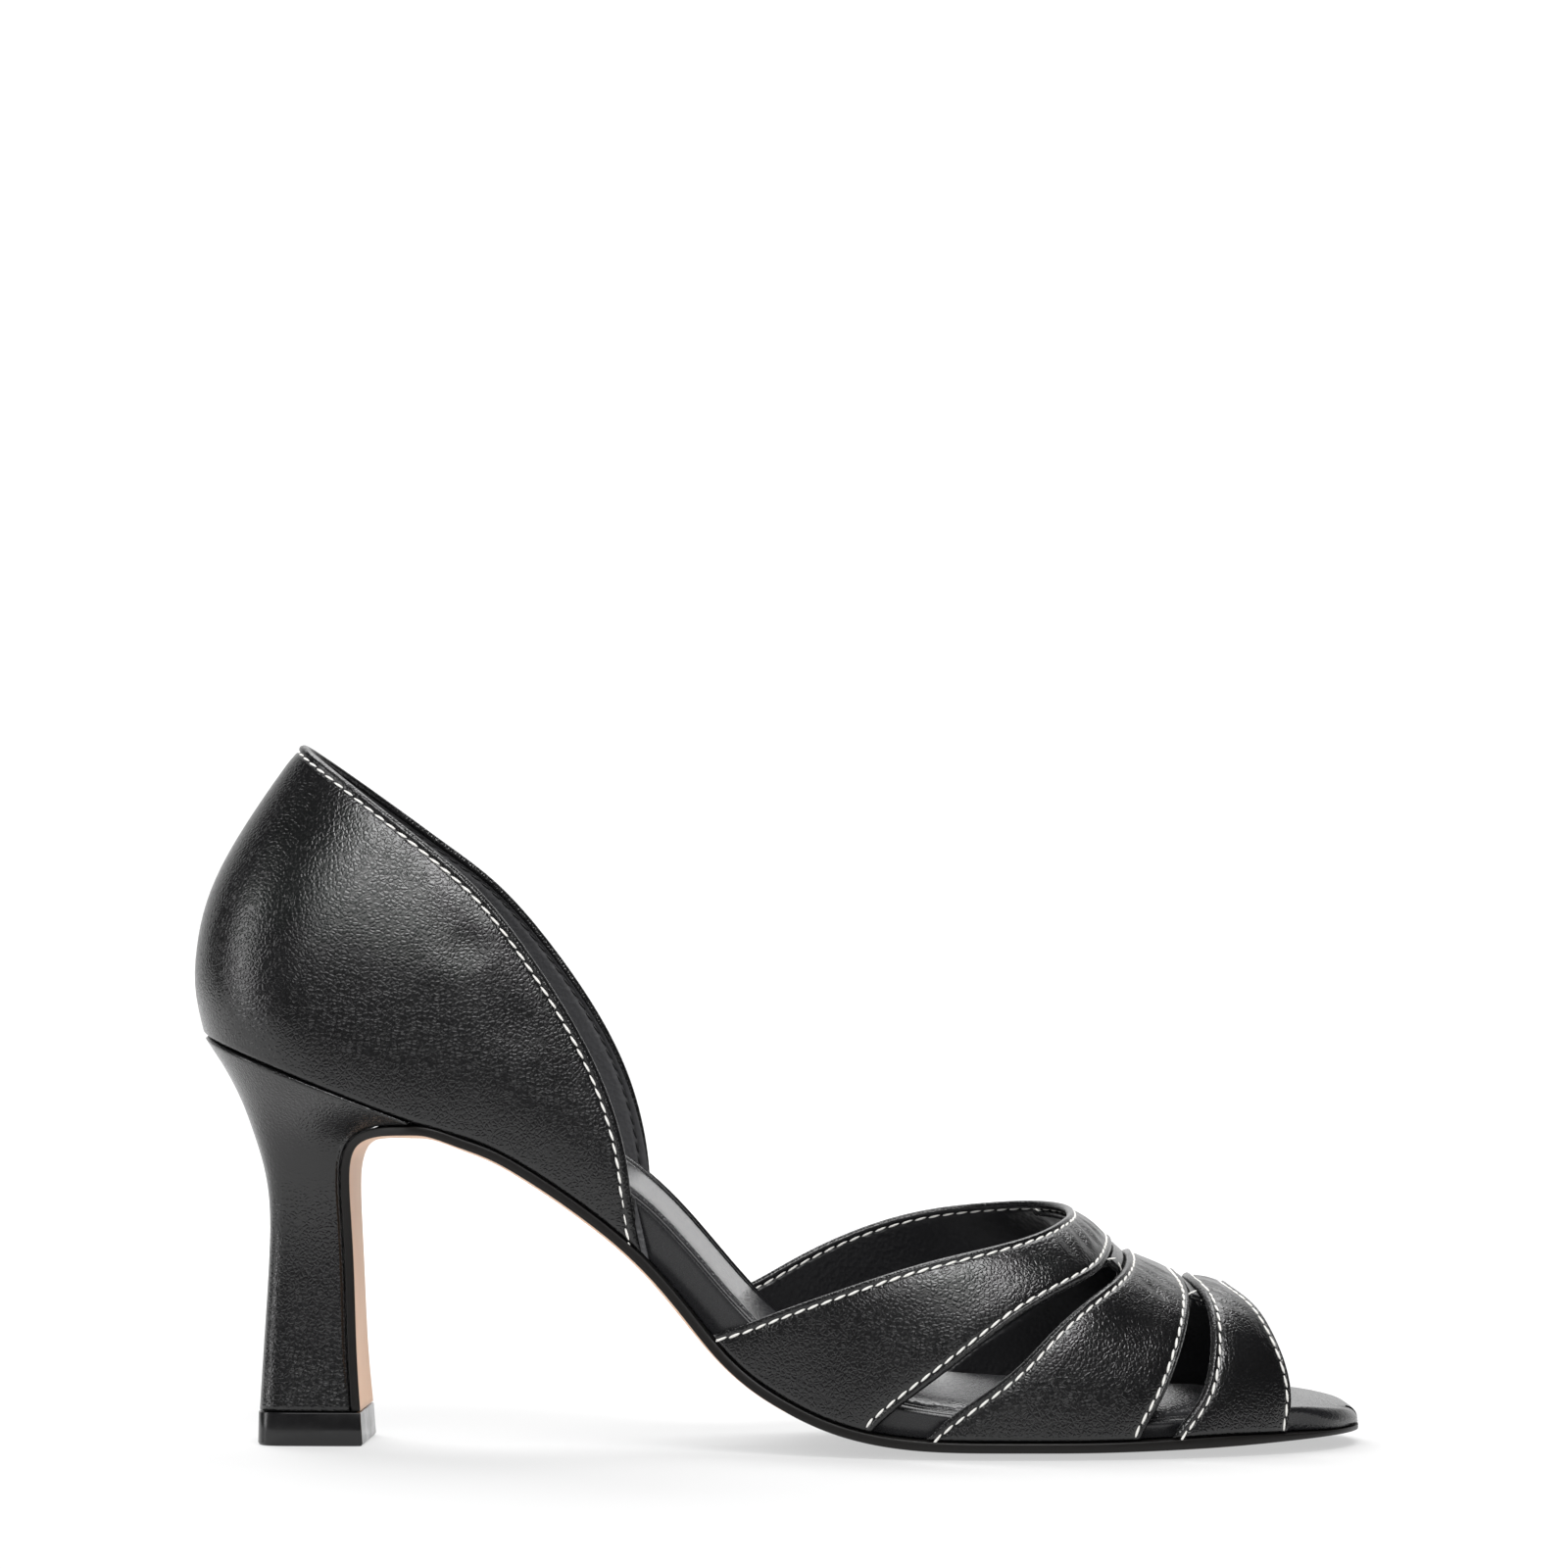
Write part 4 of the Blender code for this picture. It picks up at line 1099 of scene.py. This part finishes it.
# Spine. A strip of the same calf under the three straps along the ridge. It shows in the gaps
# between them, with its own white stitching, and as a small lump inside the point of the throat.
SPINE = 1.2
SPINE_SHARE = 0.28
spine_back = 0.1
spine_front = 0.86
spine_tuck = 0.06
spine_duck = 0.5
spine_near = 0.35
spine_fall = 0.5
spine_crowding = 1.1
spine_places = np.linspace(0, 1, 240)
spine_shares = np.linspace(-1, 1, 61)
spine_shares = SPINE_SHARE * np.sign(spine_shares) * np.abs(spine_shares) ** spine_crowding
throat_line = strap_line["throat"](spine_shares)
first_line = strap_line["strap_1_front"](spine_shares)
third_line = strap_line["strap_3_rear"](spine_shares)
peep_line = strap_line["peep"](spine_shares)
spine_start = throat_line + spine_back * (first_line - throat_line)
spine_end = third_line + spine_front * (peep_line - third_line)
spine_x = spine_start + (spine_end - spine_start) * spine_places[:, None]
spine_outer = vamp_points(spine_x, np.broadcast_to(spine_shares, spine_x.shape))
spine_away = facing(spine_outer, 0 * spine_x)

# Between two straps the strip bulges up almost to their faces, then ducks under the next one.
spine_depth = np.full(spine_x.shape, WALL + spine_tuck)
for front_name, rear_name in (("strap_1_front", "strap_2_rear"), ("strap_2_front", "strap_3_rear")):
    gap_start = strap_line[front_name](spine_shares)
    gap_end = strap_line[rear_name](spine_shares)
    rise = ease(spine_x - gap_start, 0.0, spine_duck) * (1 - ease(spine_x - gap_end, -spine_duck, 0.0))
    bulged = spine_near + spine_fall * (spine_x - gap_start) / (gap_end - gap_start)
    spine_depth += rise * (bulged - spine_depth)
spine_grid = spine_outer - spine_away * spine_depth[..., None]
spine_rims = (spine_grid[0], spine_grid[-1], spine_grid[:, 0], spine_grid[:, -1])
spine_edge = np.min([reach_from(spine_grid, rim) for rim in spine_rims], axis=0)
plain = 0 * spine_x
spine, spine_face = fold_leather("spine", spine_grid, spine_away, spine_edge, SPINE, plain, plain)[:2]
spine.data.materials.append(calf)
spine.data.materials.append(lining_painted_shade)
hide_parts("vamp")


# Stitching. Waxed white thread in lockstitch along every folded edge, about ten stitches to the
# inch, each drawn down into its groove. On the lining of the quarter the thread is black.
stitch_length = 2.45
stitch_wide = 0.55
stitch_tall = 0.5
stitch_pitch = 2.75
stitch_sight = 0.6
stitch_slant = math.radians(7)
bpy.ops.mesh.primitive_uv_sphere_add(segments=8, ring_count=6, radius=0.5)
stitch = bpy.context.object
stitch.name = "stitch"
bpy.ops.object.mode_set(mode="EDIT")
bpy.ops.mesh.select_all(action="SELECT")
bpy.ops.transform.rotate(value=math.pi / 2, orient_axis="Y", center_override=(0, 0, 0))
bpy.ops.transform.resize(value=(stitch_length * MM, stitch_wide * MM, stitch_tall * MM))
bpy.ops.object.mode_set(mode="OBJECT")
bpy.ops.object.shade_smooth()

# Bonded polyester thread, twisted and waxed. Chalky white, a little grey in the turns of the twist, and
# dyed black for the lining of the quarter.
twist_mm = 0.3


def waxed_thread(name, low_code, high_code, gloss):
    """Return a thread whose dye wavers between two colours along the twist."""
    thread, spot = new_material(name)
    twist = add_node(thread, "TexNoise", {"Vector": spot, "Scale": 1000 / twist_mm})
    tint = add_node(thread, "Mix", {
        "Factor": twist, 6: colour(low_code), 7: colour(high_code),
    }, data_type="RGBA")
    bump = add_node(thread, "Bump", {"Height": twist, "Strength": 0.3, "Distance": 0.05 * MM})
    finish_material(thread, {"Base Color": tint.outputs[2], "Normal": bump, "Roughness": gloss})
    return thread


white_thread = waxed_thread("white_waxed_polyester_thread", "#dddbd6", "#f4f3ef", 0.6)
black_thread = waxed_thread("black_waxed_polyester_thread", "#0d0d0e", "#1d1d1f", 0.5)


def seam_path(rim, next_row, inset):
    """Return the line that runs inside a rim at an inset, in the sheet's own face."""
    along = unit(np.gradient(rim, axis=0))
    inward = next_row - rim
    inward = unit(inward - along * (inward * along).sum(axis=-1, keepdims=True))
    return rim + inward * inset


def sew(name, path, face, away, sink, thread):
    """Set stitches along a path on a face and join them into one row."""
    spots = face.reshape(-1, 3)
    at = nearest(path, spots)
    up = away.reshape(-1, 3)[at]
    path = path - up * ((path - spots[at]) * up).sum(axis=-1, keepdims=True)
    along = np.concatenate([[0], np.cumsum(np.linalg.norm(np.diff(path, axis=0), axis=1))])
    count = round(along[-1] / stitch_pitch)
    centres = (np.arange(count) + 0.5) * along[-1] / count
    row = []
    for centre in centres:
        tail, head, spot = [np.array([np.interp(at, along, path[:, axis]) for axis in range(3)])
                            for at in (centre - stitch_sight, centre + stitch_sight, centre)]
        lift = unit(np.array([np.interp(centre, along, up[:, axis]) for axis in range(3)]))
        run = unit(head - tail)
        side = unit(np.cross(lift, run))
        run = run * math.cos(stitch_slant) + side * math.sin(stitch_slant)
        side = np.cross(lift, run)
        place = (spot - lift * sink - CENTRE) * MM
        turn = Matrix((run, side, lift)).transposed().to_4x4()
        copy = stitch.copy()
        copy.data = stitch.data.copy()
        copy.data.transform(Matrix.Translation(place) @ turn)
        bpy.context.collection.objects.link(copy)
        row.append(copy)
    bpy.ops.object.select_all(action="DESELECT")
    for copy in row:
        copy.select_set(True)
    bpy.context.view_layer.objects.active = row[0]
    bpy.ops.object.join()
    seam = bpy.context.object
    seam.name = name
    seam.data.name = name
    seam.data.materials.clear()
    seam.data.materials.append(thread)
    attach(seam, "root")


thread_sink = 0.02
inner_rows = 4
front_step = 22
quarter_next = np.concatenate([quarter_grid[:, front_step], quarter_grid[-1 - inner_rows, 1:-1],
                               quarter_grid[::-1, -1 - front_step]])
quarter_seam = seam_path(quarter_rim, quarter_next, quarter_inset)
sew("stitches_quarter", quarter_seam, quarter_face, quarter_away, thread_sink, white_thread)
sew("stitches_quarter_lining", quarter_seam, quarter_back, -quarter_away, thread_sink, black_thread)
for strap_name, (grid, away, face, back, rear_inset, front_inset) in straps.items():
    rear_seam = seam_path(grid[0], grid[inner_rows], rear_inset)
    front_seam = seam_path(grid[-1], grid[-1 - inner_rows], front_inset)
    sew("stitches_" + strap_name + "_rear", rear_seam, face, away, thread_sink, white_thread)
    sew("stitches_" + strap_name + "_front", front_seam, face, away, thread_sink, white_thread)
    if strap_name == "strap_1":
        sew("stitches_throat_lining", rear_seam, back, -away, thread_sink, white_thread)
spine_inset = 1.0
for side_name, column, next_column in (("outer", 0, inner_rows), ("inner", -1, -1 - inner_rows)):
    spine_seam = seam_path(spine_grid[:, column], spine_grid[:, next_column], spine_inset)
    sew("stitches_spine_" + side_name, spine_seam, spine_face, spine_away, thread_sink, white_thread)
bpy.data.objects.remove(stitch)
